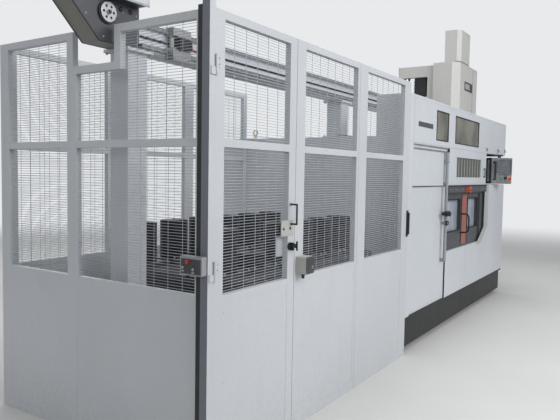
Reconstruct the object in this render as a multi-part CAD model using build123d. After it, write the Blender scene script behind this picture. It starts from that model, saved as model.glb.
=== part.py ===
from build123d import *
from math import cos, radians, sin
import os

# Twin-spindle CNC lathe with a gantry loader, a work stocker and a wire-mesh guard.
# Millimetres, +X along the front to the right, +Y to the back, +Z up.
# The origin is on the floor, under the middle of the lathe's front left levelling foot.

# Lathe plan and heights
foot_inset_x = 220
foot_inset_y = 350
lathe_length = 3820
lathe_depth = 2200
hood_depth = 340
hood_top = 2450
roof_top = 2060
sheet = 3
foot_height = 60
foot_radius = 70
ledge_top = 350
ledge_thickness = 20
plinth_inset = 25

# Front covers, measured from the lathe's left end
pillar_width = 100
panel_end = 1160
panel_recess = 15
cover_bottom = 1589
hood_bottom = 2000
track_end = 1117
track_low = 1942
track_pitch = 36
track_bar = 12
pipe_x = 1022
pipe_radius = 17
pipe_foot = 770
pipe_collar_length = 102
pipe_collar_proud = (3, 7)
clamp_z = 1290
clamp_height = 50
clamp_proud = 12
clamp_bar = 120
clamp_to_bracket = 120
small_window = (740, 1135)
large_window = (1383, 2358)
window_z = (2057, 2362)
pane_lap = 20
pane_thickness = 5
louvre_window = (1470, 2500)
louvre_z = (1680, 1905)
louvre_count = 9
louvre_angle = -24
louvre_thickness = 5
louvre_cover_end = 2770
recess_depth = 300

# Front door
door_left = 1165
door_split = 1800
door_right = 2755
door_bottom = 860
door_top = 1500
door_set_back = 25
door_thickness = 40
door_gap = 0.3
door_chamfer_run = 300
door_chamfer_rise = 175
left_door_travel = 500
right_door_travel = 780
left_pane = (door_left + 70, door_split - 55)
right_pane = (door_split + 258, door_right - 268)
pane_z = (1065, 1425)
lintel_right = 2760
lintel_proud = 20
handle_x = door_split - 25
handle_z = (1030, 1250)
handle_reach = 100
handle_radius = 9

# Bed and spindles
bed_inset = 60
bed_front = 345
bed_back = 2000
toe_top = 430
slope_foot_y = 740
slope_foot_z = 693
slope_angle = 42
slope_length = 1290
spindle_up_slope = 500
spindle_above = 240
way_width = 400
way_height = 30
way_fit = 0.05
headstock_length = 500
headstock_width = 440
headstock_above = 200
headstock_end_gap = 60
headstock_rounding = 40
spindle_tail_gap = 20
shaft_radius = 70
shaft_fit = 0.05
chuck_radius = 127
chuck_length = 110
chuck_chamfer = 5
jaw_length = 40
jaw_width = 34
nose_gap = 12
turret_gap = 0.3

# Turrets
turret_x = 1500
turret_radius = 150
turret_width = 110
turret_pin = 40
turret_pin_length = 80
tool_reach = 50
tool_size = 30
tool_count = 12
saddle_length = 560
saddle_width = 460
saddle_height = 70
cross_nose = 150
cross_tail = 300
cross_height = 60
upper_turret_up = 1000
lower_turret_up = 370

# Rear cabinet and chip conveyor
cabinet_x = (2200, 3600)
cabinet_z = (350, 1950)
cabinet_depth = 400
cabinet_door_gap = 0.8
cabinet_door_thickness = 20
cabinet_hinge_rise = 200
cabinet_hinge_drop = 300
cabinet_strap = 40
hinge_plate = 30
hinge_radius = 8
hinge_pin_radius = 4
hinge_pin_length = 30
hinge_foot = 40
hinge_gap = 0.3
switch_radius = 38
switch_gap = 0.3
switch_inset = 220
switch_drop = 420
switch_plate = 14
switch_grip = 38
switch_grip_width = 18
conveyor_y = (700, 1000)
conveyor_run = 260
conveyor_height = 180
conveyor_rise = 900
conveyor_head = 300
conveyor_leg = 40
mouth_rim = 10
mouth_roof = 40
mouth_start = 60
conveyor_pad = 100
tank_depth = (420, 1300)
tank_length = 480
tank_top = 300
tank_base = 15
skid_width = 30
skid_inset = 60
tank_fit = 0.3

# Control pendant
pendant_x = 3260
pendant_y = -50
pendant_turn = 40
pendant_width = 340
pendant_depth = 120
pendant_z = (1600, 1955)
pendant_rounding = 12
pendant_pin_radius = 20
pendant_pin_length = 30
pendant_bore_depth = 40
screen_x = (125, 322)
screen_z = (140, 330)
screen_depth = 8
grip_slot = (28, 60)
grip_slot_inset = 30
grip_slot_depth = 6
grip_reach = 46
knob_bore_depth = 22
knob_stem_inside = 10
dial_height = 16
dial_radius = 20
dial_grip = 5
dial_grip_width = 6
pin_fit = 0.05
pendant_arm_length = 240
pendant_arm_width = 80
pendant_arm_height = 25
button_fit = 0.3
stop_right = 125
stop_above = 70
dial_above = 80
stop_stem = 11
stop_head = (22, 14, 8)
start_stem = 12
start_head = (15, 4, 5)
dial_stem = 8

# Loader
beam_y = (800, 960)
beam_z = (2440, 2610)
beam_start = 240
beam_right = 3720
beam_wall = 8
rail_width = 24
rail_proud = 28
rail_fit = 0.3
rail_z = (2456, 2584)
tray_depth = 110
tray_height = 50
column_size = 160
column_start = 150
flange_lap = 30
flange_thickness = 20
bracket_x = (150, 3560)
housing_out = 475
housing_depth = 150
housing_rise = 290
housing_slant_foot = 70
housing_nose = 58
belt_slot_margin = 40
pulley_out = 14
pulley_z = 2613
pulley_radius = 58
pulley_width = 18
pulley_gap = 1
pulley_hole_radius = 8
hub_radius = 16
hub_proud = 8
hub_inside = 40
carriage_left = 2645
carriage_right = 3340
carriage_z = (2400, 2960)
carriage_plate_y = (700, 740)
arm_y = 1195
arm_z = (3035, 3185)
arm_width = 70
post_width = 80
post_back = 790
post_foot = 2640
tower_x = (2585, 3566)
tower_y = (350, 690)
tower_z = (2300, 3201)
tower_chamfer = 90
motor_x = (2660, 2820)
motor_y = (790, 1010)
motor_z = (2640, 3030)
gearbox_height = 130
motor_set_in = (18, 22)
motor_rounding = 20
shoe_lap = 14
guide_window_margin = 10
ram_x = 2960
ram_size = 130
ram_y = 375
ram_z = (2330, 3628)
ram_wall = 8
ram_rail_proud = 25
ram_rail_inset = 30
cap_x = (ram_x - 289, ram_x + 185)
cap_y = (360, 568)
cap_z = (3216, 3631)
cap_chamfer = 48
cap_gap = 2
guide_y = 515
guide_width = 150
guide_z = (2420, 2900)
wrist_radius = 55
wrist_height = 60
gripper_radius = 88
gripper_height = 70
finger_height = 60
finger_size = (30, 34)

# Guard, measured left from the lathe
guard_length = 2830
guard_depth = 1910
guard_top = 2540
guard_frame = 40
guard_mid = (1822, 1867)
guard_sheet_top = 1015
guard_mesh_top = 2495
mesh_thickness = 6
mesh_bar = 8
panel_gap = 3
door_span = (20, 832)
door_stile = 78
second_span = (836, 1755)
second_stiles = (108, 36)
third_span = (second_span[1] + panel_gap, guard_length)
third_stiles = (140, 150)
corner_tube = 50
corner_out = 30
corner_strip = 46
corner_strip_x = (-12, 20)
corner_foot = 40
corner_foot_thickness = 8
strip_above = 20
corner_above = 40
notch_y = (755, 1130)
notch_z = 2325
notch_rim = (55, 45)
end_stile = 20
end_post = (1100, 1190)
end_far_stile = 94
rear_stile = 60
rear_panels = 3
guard_hinge_z = (1142, 2234)
guard_hinge_length = 68
guard_hinge_leaf = (40, 4)
guard_handle_z = (1365, 1490)
guard_handle_inset = 55
guard_handle_reach = 50
guard_handle_radius = 6
lock_inset = 58
lock_z = 1222
lock_radius = 25
lock_plate = 12
lock_grip = 34
lock_grip_width = 12
lock_fit = 0.3
request_out = (70, 30)
request_y = (6, 158)
request_z = (1137, 1239)
request_bracket_margin = 15
interlock_inset = 16
interlock_length = 106
interlock_depth = 80
interlock_z = (1035, 1148)
interlock_head = (24, 40, 14, 11)
box_rounding = 7

# Stocker
stocker_x = (500, 2600)
stocker_y = (180, 1480)
stocker_top = 1000
stocker_plate = 40
stocker_rounding = 200
stocker_body = 300
stocker_body_inset = (180, 260)
stocker_body_wall = 20
stocker_leg = 80
stocker_leg_inset = 200
foot_rail_z = 120
pallet_size = 290
pallet_height = 30
pallet_pitch = 330
pallet_first = 635
pallet_rows = (440, 1180)
ring_radius = 105
ring_bore = 14
ring_step = 12
ring_height = 48
ring_gap = 3
ring_count = 6
pick_count = 2
guide_rod_radius = 10
guide_rod_tip = 6

left = -foot_inset_x
right = left + lathe_length
front = -foot_inset_y
back = front + lathe_depth
guard_left = left - guard_length
beam_left = guard_left + beam_start
housing_top = beam_z[1] + housing_rise
slope_cos = cos(radians(slope_angle))
slope_sin = sin(radians(slope_angle))


def block(x, y, z):
    """A box between two x, two y and two z values."""
    size = (x[1] - x[0], y[1] - y[0], z[1] - z[0])
    return Pos(x[0], y[0], z[0]) * Box(*size, align=(Align.MIN, Align.MIN, Align.MIN))


def along(origin, span):
    """A pair of values measured from an origin."""
    return (origin + span[0], origin + span[1])


def rod_x(x, y, z, radius):
    rod = Cylinder(radius, x[1] - x[0], align=(Align.CENTER, Align.CENTER, Align.MIN))
    return Pos(x[0], y, z) * Rot(0, 90, 0) * rod


def rod_y(x, y, z, radius):
    rod = Cylinder(radius, y[1] - y[0], align=(Align.CENTER, Align.CENTER, Align.MIN))
    return Pos(x, y[0], z) * Rot(-90, 0, 0) * rod


def rod_z(x, y, z, radius):
    rod = Cylinder(radius, z[1] - z[0], align=(Align.CENTER, Align.CENTER, Align.MIN))
    return Pos(x, y, z[0]) * rod


def prism_xz(points, y):
    """An outline in X and Z, drawn at the nearer y and thickened to the farther."""
    face = Plane(origin=(0, y[1], 0), x_dir=(1, 0, 0), z_dir=(0, -1, 0)) * Polygon(*points, align=None)
    return extrude(face, amount=y[1] - y[0])


def prism_yz(points, x):
    face = Plane(origin=(x[0], 0, 0), x_dir=(0, 1, 0), z_dir=(1, 0, 0)) * Polygon(*points, align=None)
    return extrude(face, amount=x[1] - x[0])


def hinge_knuckle(x, y, z, height):
    """The turning half of a lift-off hinge: a knuckle bored from below."""
    bore = rod_z(x, y, along(z, hinge_bore), hinge_pin_radius + pin_fit)
    return rod_z(x, y, (z, z + height), hinge_radius) - bore


hinge_bore = (-1, hinge_pin_length + 1)


def hinge_post(x, y, z):
    """The fixed half: a short post under the knuckle with a pin up into it."""
    pin = rod_z(x, y, (z - hinge_foot, z + hinge_pin_length), hinge_pin_radius)
    return pin + rod_z(x, y, (z - hinge_foot, z - hinge_gap), hinge_radius)


def grow(span, amount):
    return (span[0] - amount, span[1] + amount)


def middle(span):
    return (span[0] + span[1]) / 2


def about(centre, half):
    """A pair of values at equal distances from a centre."""
    return (centre - half, centre + half)


# The slant bed: x as the lathe's, y up the slope, z away from it
bed_plane = Plane(
    origin=(0, front + slope_foot_y, slope_foot_z), x_dir=(1, 0, 0), z_dir=(0, -slope_sin, slope_cos)
)
spindle_y = front + slope_foot_y + spindle_up_slope * slope_cos - spindle_above * slope_sin
spindle_z = slope_foot_z + spindle_up_slope * slope_sin + spindle_above * slope_cos

# The lower slide's plane aims at the spindle from the front
toe_run = slope_foot_y - bed_front
toe_rise = slope_foot_z - toe_top
toe_length = (toe_run**2 + toe_rise**2) ** 0.5
toe_plane = Plane(
    origin=(0, front + bed_front, toe_top),
    x_dir=(1, 0, 0),
    z_dir=(0, -toe_rise / toe_length, toe_run / toe_length),
)
spindle_from_toe = Vector(0, spindle_y - front - bed_front, spindle_z - toe_top)
lower_above = spindle_from_toe.dot(toe_plane.z_dir)


def on_way(plane, x, centre, width, height, fit):
    """A slide block that straddles the way below it."""
    body = block(x, about(centre, width / 2), (fit, height))
    way = block(grow(x, 1), about(centre, way_width / 4 + fit), (0, way_height + fit))
    return plane * (body - way)


def bed_casting():
    plinth_x, plinth_y = grow((left, right), -plinth_inset), grow((front, back), -plinth_inset)
    ledge_low = ledge_top - ledge_thickness
    plinth = block(plinth_x, plinth_y, (foot_height, ledge_low))
    ledge = block((left, right), (front, back), (ledge_low, ledge_top))
    top_y = slope_foot_y + slope_length * slope_cos
    top_z = slope_foot_z + slope_length * slope_sin
    outline = [
        (front + bed_front, ledge_low),
        (front + bed_back, ledge_low),
        (front + bed_back, top_z),
        (front + top_y, top_z),
        (front + slope_foot_y, slope_foot_z),
        (front + bed_front, toe_top),
    ]
    bed_x = grow((left, right), -bed_inset)
    casting = plinth + ledge + prism_yz(outline, bed_x)
    for plane, centre in way_places:
        way = block(bed_x, (centre - way_width / 4, centre + way_width / 4), (0, way_height))
        casting += plane * way
    return casting


way_places = (
    (bed_plane, spindle_up_slope),
    (bed_plane, upper_turret_up),
    (toe_plane, toe_length / 2),
)


def levelling_feet():
    feet = Part()
    for x in (left + foot_inset_x, (left + right) / 2, right - foot_inset_x):
        for y in (front + foot_inset_y, back - foot_inset_y):
            pad = rod_z(x, y, (0, foot_height / 3), foot_radius)
            stem = rod_z(x, y, (foot_height / 3, foot_height), foot_radius / 3)
            feet += pad + stem
    return feet


def left_front_cover():
    pillar_x = (left, left + pillar_width)
    pillar = block(pillar_x, (front, front + hood_depth), (ledge_top, hood_top))
    inside = block(
        grow(pillar_x, -sheet), (front + sheet, front + hood_depth - sheet), (ledge_top, hood_top - sheet)
    )
    panel = block(
        (pillar_x[1], left + panel_end),
        along(front + panel_recess, (0, sheet)),
        (ledge_top, cover_bottom),
    )
    return pillar - inside + panel


def upper_left_cover():
    span = (left + pillar_width, left + door_left)
    plate = block(span, (front, front + sheet), (cover_bottom, hood_bottom))
    shelf = block(span, (front, front + panel_recess + sheet), (cover_bottom, cover_bottom + sheet))
    cover = plate + shelf
    for step in range(2):
        low = track_low + step * track_pitch
        cover += block(
            (left + pillar_width, left + track_end), (front - track_bar, front), (low, low + track_bar)
        )
    stop = block(
        (left + track_end, left + track_end + track_bar),
        (front - 2 * track_bar, front),
        (track_low, track_low + track_pitch + track_bar),
    )
    return cover + stop


def upper_front_cover():
    span = (left + pillar_width, right)
    hood = block(span, (front, front + hood_depth), (hood_bottom, hood_top))
    inside = block(
        grow(span, -sheet), (front + sheet, front + hood_depth - sheet), (hood_bottom - 1, hood_top - sheet)
    )
    hood -= inside
    floor_x = (left + louvre_cover_end, right)
    hood += block(floor_x, (front, front + hood_depth), along(hood_bottom, (0, sheet)))
    for window in (small_window, large_window):
        hood -= block(along(left, window), (front - 1, front + sheet + 1), window_z)
    return hood


def upper_window_panes():
    panes = Part()
    for window in (small_window, large_window):
        x = grow(along(left, window), pane_lap)
        panes += block(x, along(front + sheet, (0, pane_thickness)), grow(window_z, pane_lap))
    return panes


def louvre_cover():
    span = (left + door_left, left + louvre_cover_end)
    plate = block(span, (front, front + sheet), (cover_bottom, hood_bottom))
    plate -= block(along(left, louvre_window), (front - 1, front + sheet + 1), louvre_z)
    side = block(
        (span[1] - sheet, span[1]), (front, front + recess_depth), (cover_bottom, hood_bottom)
    )
    return plate + side


def louvre_slats():
    """Upright slats between a head and a foot rail, behind the lower window."""
    x = grow(along(left, louvre_window), pane_lap)
    pitch = (louvre_window[1] - louvre_window[0]) / louvre_count
    slat_y = front + sheet + pitch / 4
    rails = Part()
    for z in (louvre_z[0] - pane_lap, louvre_z[1]):
        rails += block(x, (front + sheet, slat_y + pitch / 4), (z, z + pane_lap))
    for i in range(louvre_count):
        centre = left + louvre_window[0] + (i + 0.5) * pitch
        slat = Box(pitch, louvre_thickness, louvre_z[1] - louvre_z[0] + 2)
        rails += Pos(centre, slat_y, middle(louvre_z)) * Rot(0, 0, louvre_angle) * slat
    return rails


def door_lintel():
    high = (door_top - 1, cover_bottom)
    beam = block((left + door_left, left + lintel_right), (front - lintel_proud, front), high)
    ends = beam.edges().filter_by(Axis.Y).group_by(Axis.X)[-1]
    beam = fillet(ends, (high[1] - high[0]) / 3)
    mount = block((left + door_left, left + door_right), (front, front + panel_recess + sheet), high)
    return beam + mount + door_track((high[0], high[0] + door_thickness))


def door_track(z):
    """A strip above or below both leaves that reaches as far as they slide."""
    x = (left + door_left - left_door_travel, left + door_right + right_door_travel)
    return block(x, (front + panel_recess + sheet, front + door_set_back + door_thickness + 2 * sheet), z)


def door_leaf(x, pane):
    """A framed leaf with one window, rebated for its pane at the back."""
    y = along(front + door_set_back, (0, door_thickness))
    leaf = block(x, y, (door_bottom + door_gap, door_top - 2))
    leaf -= block(pane, grow(y, 1), pane_z)
    leaf -= block(grow(pane, pane_lap), (y[1] - pane_thickness, y[1] + 1), grow(pane_z, pane_lap))
    return leaf


def door_pane(pane):
    y = front + door_set_back + door_thickness
    return block(grow(pane, pane_lap), (y - pane_thickness, y), grow(pane_z, pane_lap))


def bow_handle(x, y_root, reach, z, radius):
    """A round bar bent into a U that stands off a face towards the front."""
    grip_y = y_root - reach
    bow = rod_z(x, grip_y, z, radius)
    for end in z:
        bow += rod_y(x, (grip_y, y_root), end, radius)
        bow += Pos(x, grip_y, end) * Sphere(radius)
    return bow


def front_apron():
    span = (left + panel_end, left + door_right)
    plate = block(span, (front, front + sheet), (ledge_top, door_bottom))
    sill = (door_bottom - sheet, door_bottom)
    return plate + block(span, (front, front + panel_recess + sheet), sill) + door_track(sill)


def right_front_cover():
    edge = left + door_right
    outline = [
        (edge, ledge_top),
        (right, ledge_top),
        (right, cover_bottom),
        (edge, cover_bottom),
        (edge, door_bottom + door_chamfer_rise),
        (edge - door_chamfer_run, door_bottom),
        (edge, door_bottom),
    ]
    cover = prism_xz(outline, (front, front + sheet))
    inner = left + louvre_cover_end
    shelf_y = (front, front + recess_depth)
    cover += block((inner, right), shelf_y, (cover_bottom - sheet, cover_bottom))
    cover += block((inner, right), along(shelf_y[1], (0, sheet)), (cover_bottom - sheet, hood_bottom))
    return cover + block((right - sheet, right), (front, front + hood_depth), (ledge_top, cover_bottom))


def rear_covers():
    """The two end covers and the back cover between them."""
    high = (ledge_top, roof_top - sheet)
    covers = [block((x, x + sheet), (front + hood_depth, back), high) for x in (left, right - sheet)]
    covers.append(block(grow((left, right), -sheet), (back - sheet, back), high))
    return Compound(covers)


def roof_cover():
    """The low roof behind the hood, with a lipped slot that the loader's ram goes down through."""
    roof = block((left, right), (front + hood_depth, back), (roof_top - sheet, roof_top))
    slot_x = (left + headstock_end_gap + headstock_length, right - sheet * 10)
    slot_y = along(front, (tower_y[0] - sheet, carriage_plate_y[0] - sheet * 10))
    lip = block(grow(slot_x, sheet), (slot_y[0], slot_y[1] + sheet), (roof_top, roof_top + sheet * 10))
    hole = block(slot_x, slot_y, (roof_top - sheet * 2, roof_top + sheet * 11))
    return roof + lip - hole


def service_pipe():
    """The upright grey pipe by the door, held at its foot, at the track and by a clamp."""
    x, y = left + pipe_x, front - 2 * pipe_radius
    collar = track_low - pipe_collar_length
    sleeve, ring = pipe_collar_proud
    pipe = rod_z(x, y, (pipe_foot, track_low), pipe_radius)
    pipe += rod_z(x, y, (collar, track_low), pipe_radius + sleeve)
    pipe += rod_z(x, y, along(collar, (-track_bar, track_bar)), pipe_radius + ring)
    pipe += rod_z(x, y, about(clamp_z, clamp_height / 2), pipe_radius + clamp_proud)
    pipe += rod_x(about(x, clamp_bar / 2), y, clamp_z, track_bar)
    for z in (pipe_foot, clamp_z - clamp_to_bracket):
        pipe += block(about(x, pipe_radius / 2), (y, front + panel_recess), (z, z + 2 * pipe_radius))
    top = block(about(x, pipe_radius / 2), (y, front), (cover_bottom, cover_bottom + 2 * pipe_radius))
    return pipe + top


def electrical_cabinet():
    x, y = along(left, cabinet_x), (back, back + cabinet_depth)
    box = block(x, y, cabinet_z)
    box -= block(grow(x, -sheet), (back + sheet, y[1] + 1), grow(cabinet_z, -sheet))
    for z in cabinet_hinge_z:
        plate_y = (y[1] - hinge_plate, cabinet_hinge_y)
        plate = block((x[0] - 2 * hinge_radius, x[0]), plate_y, (z - hinge_foot, z - hinge_gap))
        box += plate + hinge_post(cabinet_hinge_x, cabinet_hinge_y, z)
    return box


def cabinet_door():
    x, y = along(left, cabinet_x), back + cabinet_depth + cabinet_door_gap
    leaf = block(x, (y, y + cabinet_door_thickness), cabinet_z)
    for z in cabinet_hinge_z:
        strap_x = (cabinet_hinge_x, x[0] + cabinet_strap)
        strap = block(strap_x, (y, y + sheet * 2), (z, z + guard_hinge_length))
        bore = rod_z(cabinet_hinge_x, cabinet_hinge_y, along(z, hinge_bore), hinge_pin_radius + pin_fit)
        leaf += strap - bore + hinge_knuckle(cabinet_hinge_x, cabinet_hinge_y, z, guard_hinge_length)
    return leaf


cabinet_hinge_x = left + cabinet_x[0] - hinge_radius - cabinet_door_gap / 2
cabinet_hinge_y = back + cabinet_depth + cabinet_door_gap + hinge_radius
cabinet_hinge_z = (cabinet_z[0] + cabinet_hinge_rise, cabinet_z[1] - cabinet_hinge_drop)


def main_switch():
    x, z = left + cabinet_x[1] - switch_inset, cabinet_z[1] - switch_drop
    y = back + cabinet_depth + cabinet_door_gap + cabinet_door_thickness + switch_gap
    disc = rod_y(x, (y, y + switch_plate), z, switch_radius)
    return disc + block(about(x, switch_grip_width / 2), (y, y + switch_grip), about(z, switch_radius))


def chip_conveyor():
    """The conveyor's trough leaves the base at the right, climbs and drops chips at its head."""
    y = along(front, conveyor_y)
    foot = right + conveyor_run
    low, high = foot_height, foot_height + conveyor_height
    start = right - plinth_inset
    head_x = foot + conveyor_rise / 2
    mouth_x = head_x + conveyor_head
    side = [
        (start, low),
        (foot, low),
        (head_x, low + conveyor_rise),
        (mouth_x, low + conveyor_rise),
        (mouth_x, high + conveyor_rise),
        (head_x - conveyor_height / 2, high + conveyor_rise),
        (foot - conveyor_height / 2, high),
        (start, high),
    ]
    trough = prism_xz(side, y)
    mouth_z = (low + conveyor_rise - 1, high + conveyor_rise - mouth_roof)
    trough -= block((head_x + mouth_start, mouth_x - mouth_rim), grow(y, -mouth_rim), mouth_z)
    tank_x, tank_y = (right, right + tank_length), along(front, tank_depth)
    tank = block(tank_x, tank_y, (tank_base, tank_top))
    tank -= block(grow(tank_x, -sheet), grow(tank_y, -sheet), (tank_base + sheet, tank_top + 1))
    tank -= prism_xz(side, grow(y, tank_fit))
    for x in (tank_x[0] + skid_inset, tank_x[1] - skid_inset - skid_width):
        tank += block((x, x + skid_width), tank_y, (0, tank_base))
    pad_x = (foot - 2 * conveyor_pad, foot - conveyor_pad)
    tank += block(pad_x, grow(y, -conveyor_leg), (tank_base + sheet, low))
    for leg_y in (y[0], y[1] - conveyor_leg):
        leg = (leg_y, leg_y + conveyor_leg)
        trough += block((head_x, head_x + conveyor_leg), leg, (0, low + conveyor_rise))
    return trough + tank


def headstock(x, fit):
    """A spindle box that straddles the bed's way, bored for its spindle."""
    box = on_way(bed_plane, x, spindle_up_slope, headstock_width, spindle_above + headstock_above, fit)
    edges = box.edges().filter_by(Axis.X).group_by(Axis.Z)[-1]
    box = fillet(edges, headstock_rounding)
    return box - rod_x(grow(x, 1), spindle_y, spindle_z, shaft_radius + shaft_fit)


def spindle_chuck(x_nose, direction):
    """A spindle shaft, its flange, chuck body and three stepped jaws."""
    def span(near, far):
        return tuple(sorted((x_nose + direction * near, x_nose + direction * far)))

    shaft = rod_x(span(spindle_tail_gap - headstock_length, nose_gap), spindle_y, spindle_z, shaft_radius)
    body = rod_x(span(nose_gap, nose_gap + chuck_length), spindle_y, spindle_z, chuck_radius)
    body = chamfer(body.edges().filter_by(GeomType.CIRCLE), chuck_chamfer)
    face = nose_gap + chuck_length
    low, mid, high = (chuck_radius * share for share in (0.31, 0.54, 0.93))
    jaw = block(span(face - 1, face + jaw_length), (-jaw_width / 2, jaw_width / 2), (low, high))
    jaw += block(span(face, face + 1.4 * jaw_length), (-jaw_width / 2, jaw_width / 2), (mid, high))
    jaws = Part()
    for i in range(3):
        jaws += Pos(0, spindle_y, spindle_z) * Rot(i * 120, 0, 0) * jaw
    bore = rod_x(span(-headstock_length, face + 1), spindle_y, spindle_z, shaft_radius / 2)
    return shaft + body + jaws - bore


house_x = along(left + turret_x + turret_width / 2 + turret_gap, (0, saddle_length))


def turret_saddle(plane, centre):
    return on_way(plane, house_x, centre, saddle_width, saddle_height, way_fit)


def cross_slide(plane, centre, above, tail):
    """The slide that carries the turret's drive box to and from the spindle; its tail points away."""
    low = saddle_height + way_fit
    ends = (centre - tail * cross_nose, centre + tail * cross_tail)
    slide = block(house_x, (min(ends), max(ends)), (low, low + cross_height))
    half = turret_radius * 0.72
    slide += block(house_x, (centre - half, centre + half), (low, above + half))
    pin_x = (house_x[0] - 1, house_x[0] + turret_pin_length + 1)
    slide -= rod_x(pin_x, centre, above, turret_pin + pin_fit)
    return plane * slide


def turret(plane, centre, above):
    """A twelve-sided tool disc with a pin into its drive box and a tool block on every other face."""
    disc_x = (left + turret_x - turret_width / 2, left + turret_x + turret_width / 2)
    outline = Plane(origin=(disc_x[0], centre, above), x_dir=(0, 1, 0), z_dir=(1, 0, 0))
    disc = extrude(outline * RegularPolygon(turret_radius, tool_count), amount=turret_width)
    disc -= rod_x((disc_x[0] - 1, disc_x[0] + tool_size), centre, above, turret_radius / 3)
    disc += rod_x((disc_x[1], disc_x[1] + turret_pin_length), centre, above, turret_pin)
    reach = (turret_radius * 0.8, turret_radius + tool_reach)
    half = tool_size / 2
    for i in range(tool_count // 2):
        tool = block((left + turret_x - half, left + turret_x + half), (-half, half), reach)
        disc += Pos(0, centre, above) * Rot(i * 720 / tool_count, 0, 0) * tool
    return plane * disc


pendant_place = Pos(left + pendant_x, front + pendant_y, 0) * Rot(0, 0, -pendant_turn)


def pendant_arm():
    x, y, top = left + pendant_x, front + pendant_y, hood_bottom
    arm_y_span = along(y - pendant_arm_width / 2, (0, pendant_arm_length))
    under = top - pendant_arm_height
    arm = block(about(x, pendant_arm_width / 2), arm_y_span, (under, top))
    return arm + rod_z(x, y, (pendant_z[1] - pendant_pin_length, under), pendant_pin_radius)


def pendant_box():
    """The control box: a screen recess, a grip in a groove and bores for its buttons."""
    half, face = pendant_width / 2, -pendant_depth / 2
    box = block((-half, half), (face, -face), pendant_z)
    box = fillet(box.edges().filter_by(Axis.Z), pendant_rounding)
    box -= block(along(-half, screen_x), (face - 1, face + screen_depth), along(pendant_z[0], screen_z))
    bore_z = (pendant_z[1] - pendant_bore_depth, pendant_z[1] + 1)
    box -= rod_z(0, 0, bore_z, pendant_pin_radius + pin_fit)
    slot_z = grow(pendant_z, -grip_slot_inset)
    box -= block(along(-half, grip_slot), (face - 1, face + grip_slot_depth), slot_z)
    grip_x = -half + middle(grip_slot)
    grip_z = grow(slot_z, -grip_slot_inset)
    box += bow_handle(grip_x, face + grip_slot_depth, grip_reach, grip_z, handle_radius)
    for x, z, radius in pendant_bores:
        box -= rod_y(x, (face - 1, face + knob_bore_depth), z, radius + button_fit)
    return pendant_place * box


stop_place = (stop_right, pendant_z[0] + stop_above)
start_place = (0, pendant_z[0] + stop_above)
dial_place = (stop_right / 2, pendant_z[0] + dial_above)
pendant_bores = (
    (*stop_place, stop_stem),
    (*start_place, start_stem),
    (*dial_place, dial_stem),
)


def pendant_knob(place, stem, head, height, proud):
    """A button or dial: a stem in its bore and a wider head that stands off the face."""
    face = -pendant_depth / 2
    knob = rod_y(place[0], (face - proud, face + knob_stem_inside), place[1], stem)
    return pendant_place * (knob + rod_y(place[0], (face - proud - height, face - proud), place[1], head))


def feed_dial():
    knob = pendant_knob(dial_place, dial_stem, dial_radius, dial_height, button_fit)
    face = -pendant_depth / 2 - dial_height - button_fit
    grip = about(dial_place[0], dial_grip_width / 2), (face - dial_grip, face)
    return knob + pendant_place * block(*grip, about(dial_place[1], dial_radius - 2))


def beam_supports():
    """The floor column at the beam's left end and two brackets on the lathe's roof."""
    supports = Part()
    y = along(front, beam_y)
    posts = [(guard_left + column_start, 0)] + [(left + x, roof_top) for x in bracket_x]
    for x, low in posts:
        span = (x, x + column_size)
        supports += block(span, y, (low, beam_z[0]))
        for z in (low, beam_z[0] - flange_thickness):
            supports += block(grow(span, flange_lap), grow(y, flange_lap), (z, z + flange_thickness))
    return supports


def gantry_beam():
    x, y = (beam_left, left + beam_right), along(front, beam_y)
    beam = block(x, y, beam_z) - block(grow(x, -beam_wall), grow(y, -beam_wall), grow(beam_z, -beam_wall))
    tray_y = (y[1], y[1] + tray_depth)
    tray_low = beam_z[1] - tray_height
    tray = block(x, tray_y, (tray_low, beam_z[1]))
    tray -= block(grow(x, 1), grow(tray_y, -sheet), (tray_low + sheet, beam_z[1] + 1))
    return beam + tray


def beam_rails():
    rails = Part()
    x = (beam_left, left + beam_right)
    for z in rail_z:
        rails += block(x, (front + beam_y[0] - rail_proud, front + beam_y[0]), (z, z + rail_width))
    return rails


def drive_housing():
    """The belt drive's sheet housing that stands out through the notch in the end wall."""
    outline = [
        (beam_left, beam_z[0]),
        (beam_left, housing_top),
        (guard_left - housing_out, housing_top),
        (guard_left - housing_out, housing_top - housing_nose),
        (guard_left - housing_slant_foot, beam_z[0]),
    ]
    y = along(front + beam_y[0], (0, housing_depth))
    housing = prism_xz(outline, y)
    cavity = offset(Polygon(*outline, align=None), -sheet)
    plane = Plane(origin=(0, y[1] - sheet, 0), x_dir=(1, 0, 0), z_dir=(0, -1, 0))
    housing -= extrude(plane * cavity, amount=housing_depth - 2 * sheet)
    slot_z = (beam_z[1] + belt_slot_margin, housing_top - belt_slot_margin)
    housing -= block((beam_left - 2 * sheet, beam_left + 1), grow(y, -housing_depth / 4), slot_z)
    return housing - rod_y(guard_left - pulley_out, (y[0] - 1, y[0] + sheet + 1), pulley_z, hub_radius + way_fit)


def drive_pulley():
    x, face = guard_left - pulley_out, front + beam_y[0] - pulley_gap
    wheel = rod_y(x, (face - pulley_width, face), pulley_z, pulley_radius)
    hole = Pos(pulley_radius * 0.62, 0, 0) * Rot(90, 0, 0) * Cylinder(pulley_hole_radius, pulley_width * 3)
    for i in range(6):
        wheel -= Pos(x, face, pulley_z) * Rot(0, i * 60, 0) * hole
    return wheel + rod_y(x, (face - pulley_width - hub_proud, face + hub_inside), pulley_z, hub_radius)


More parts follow.
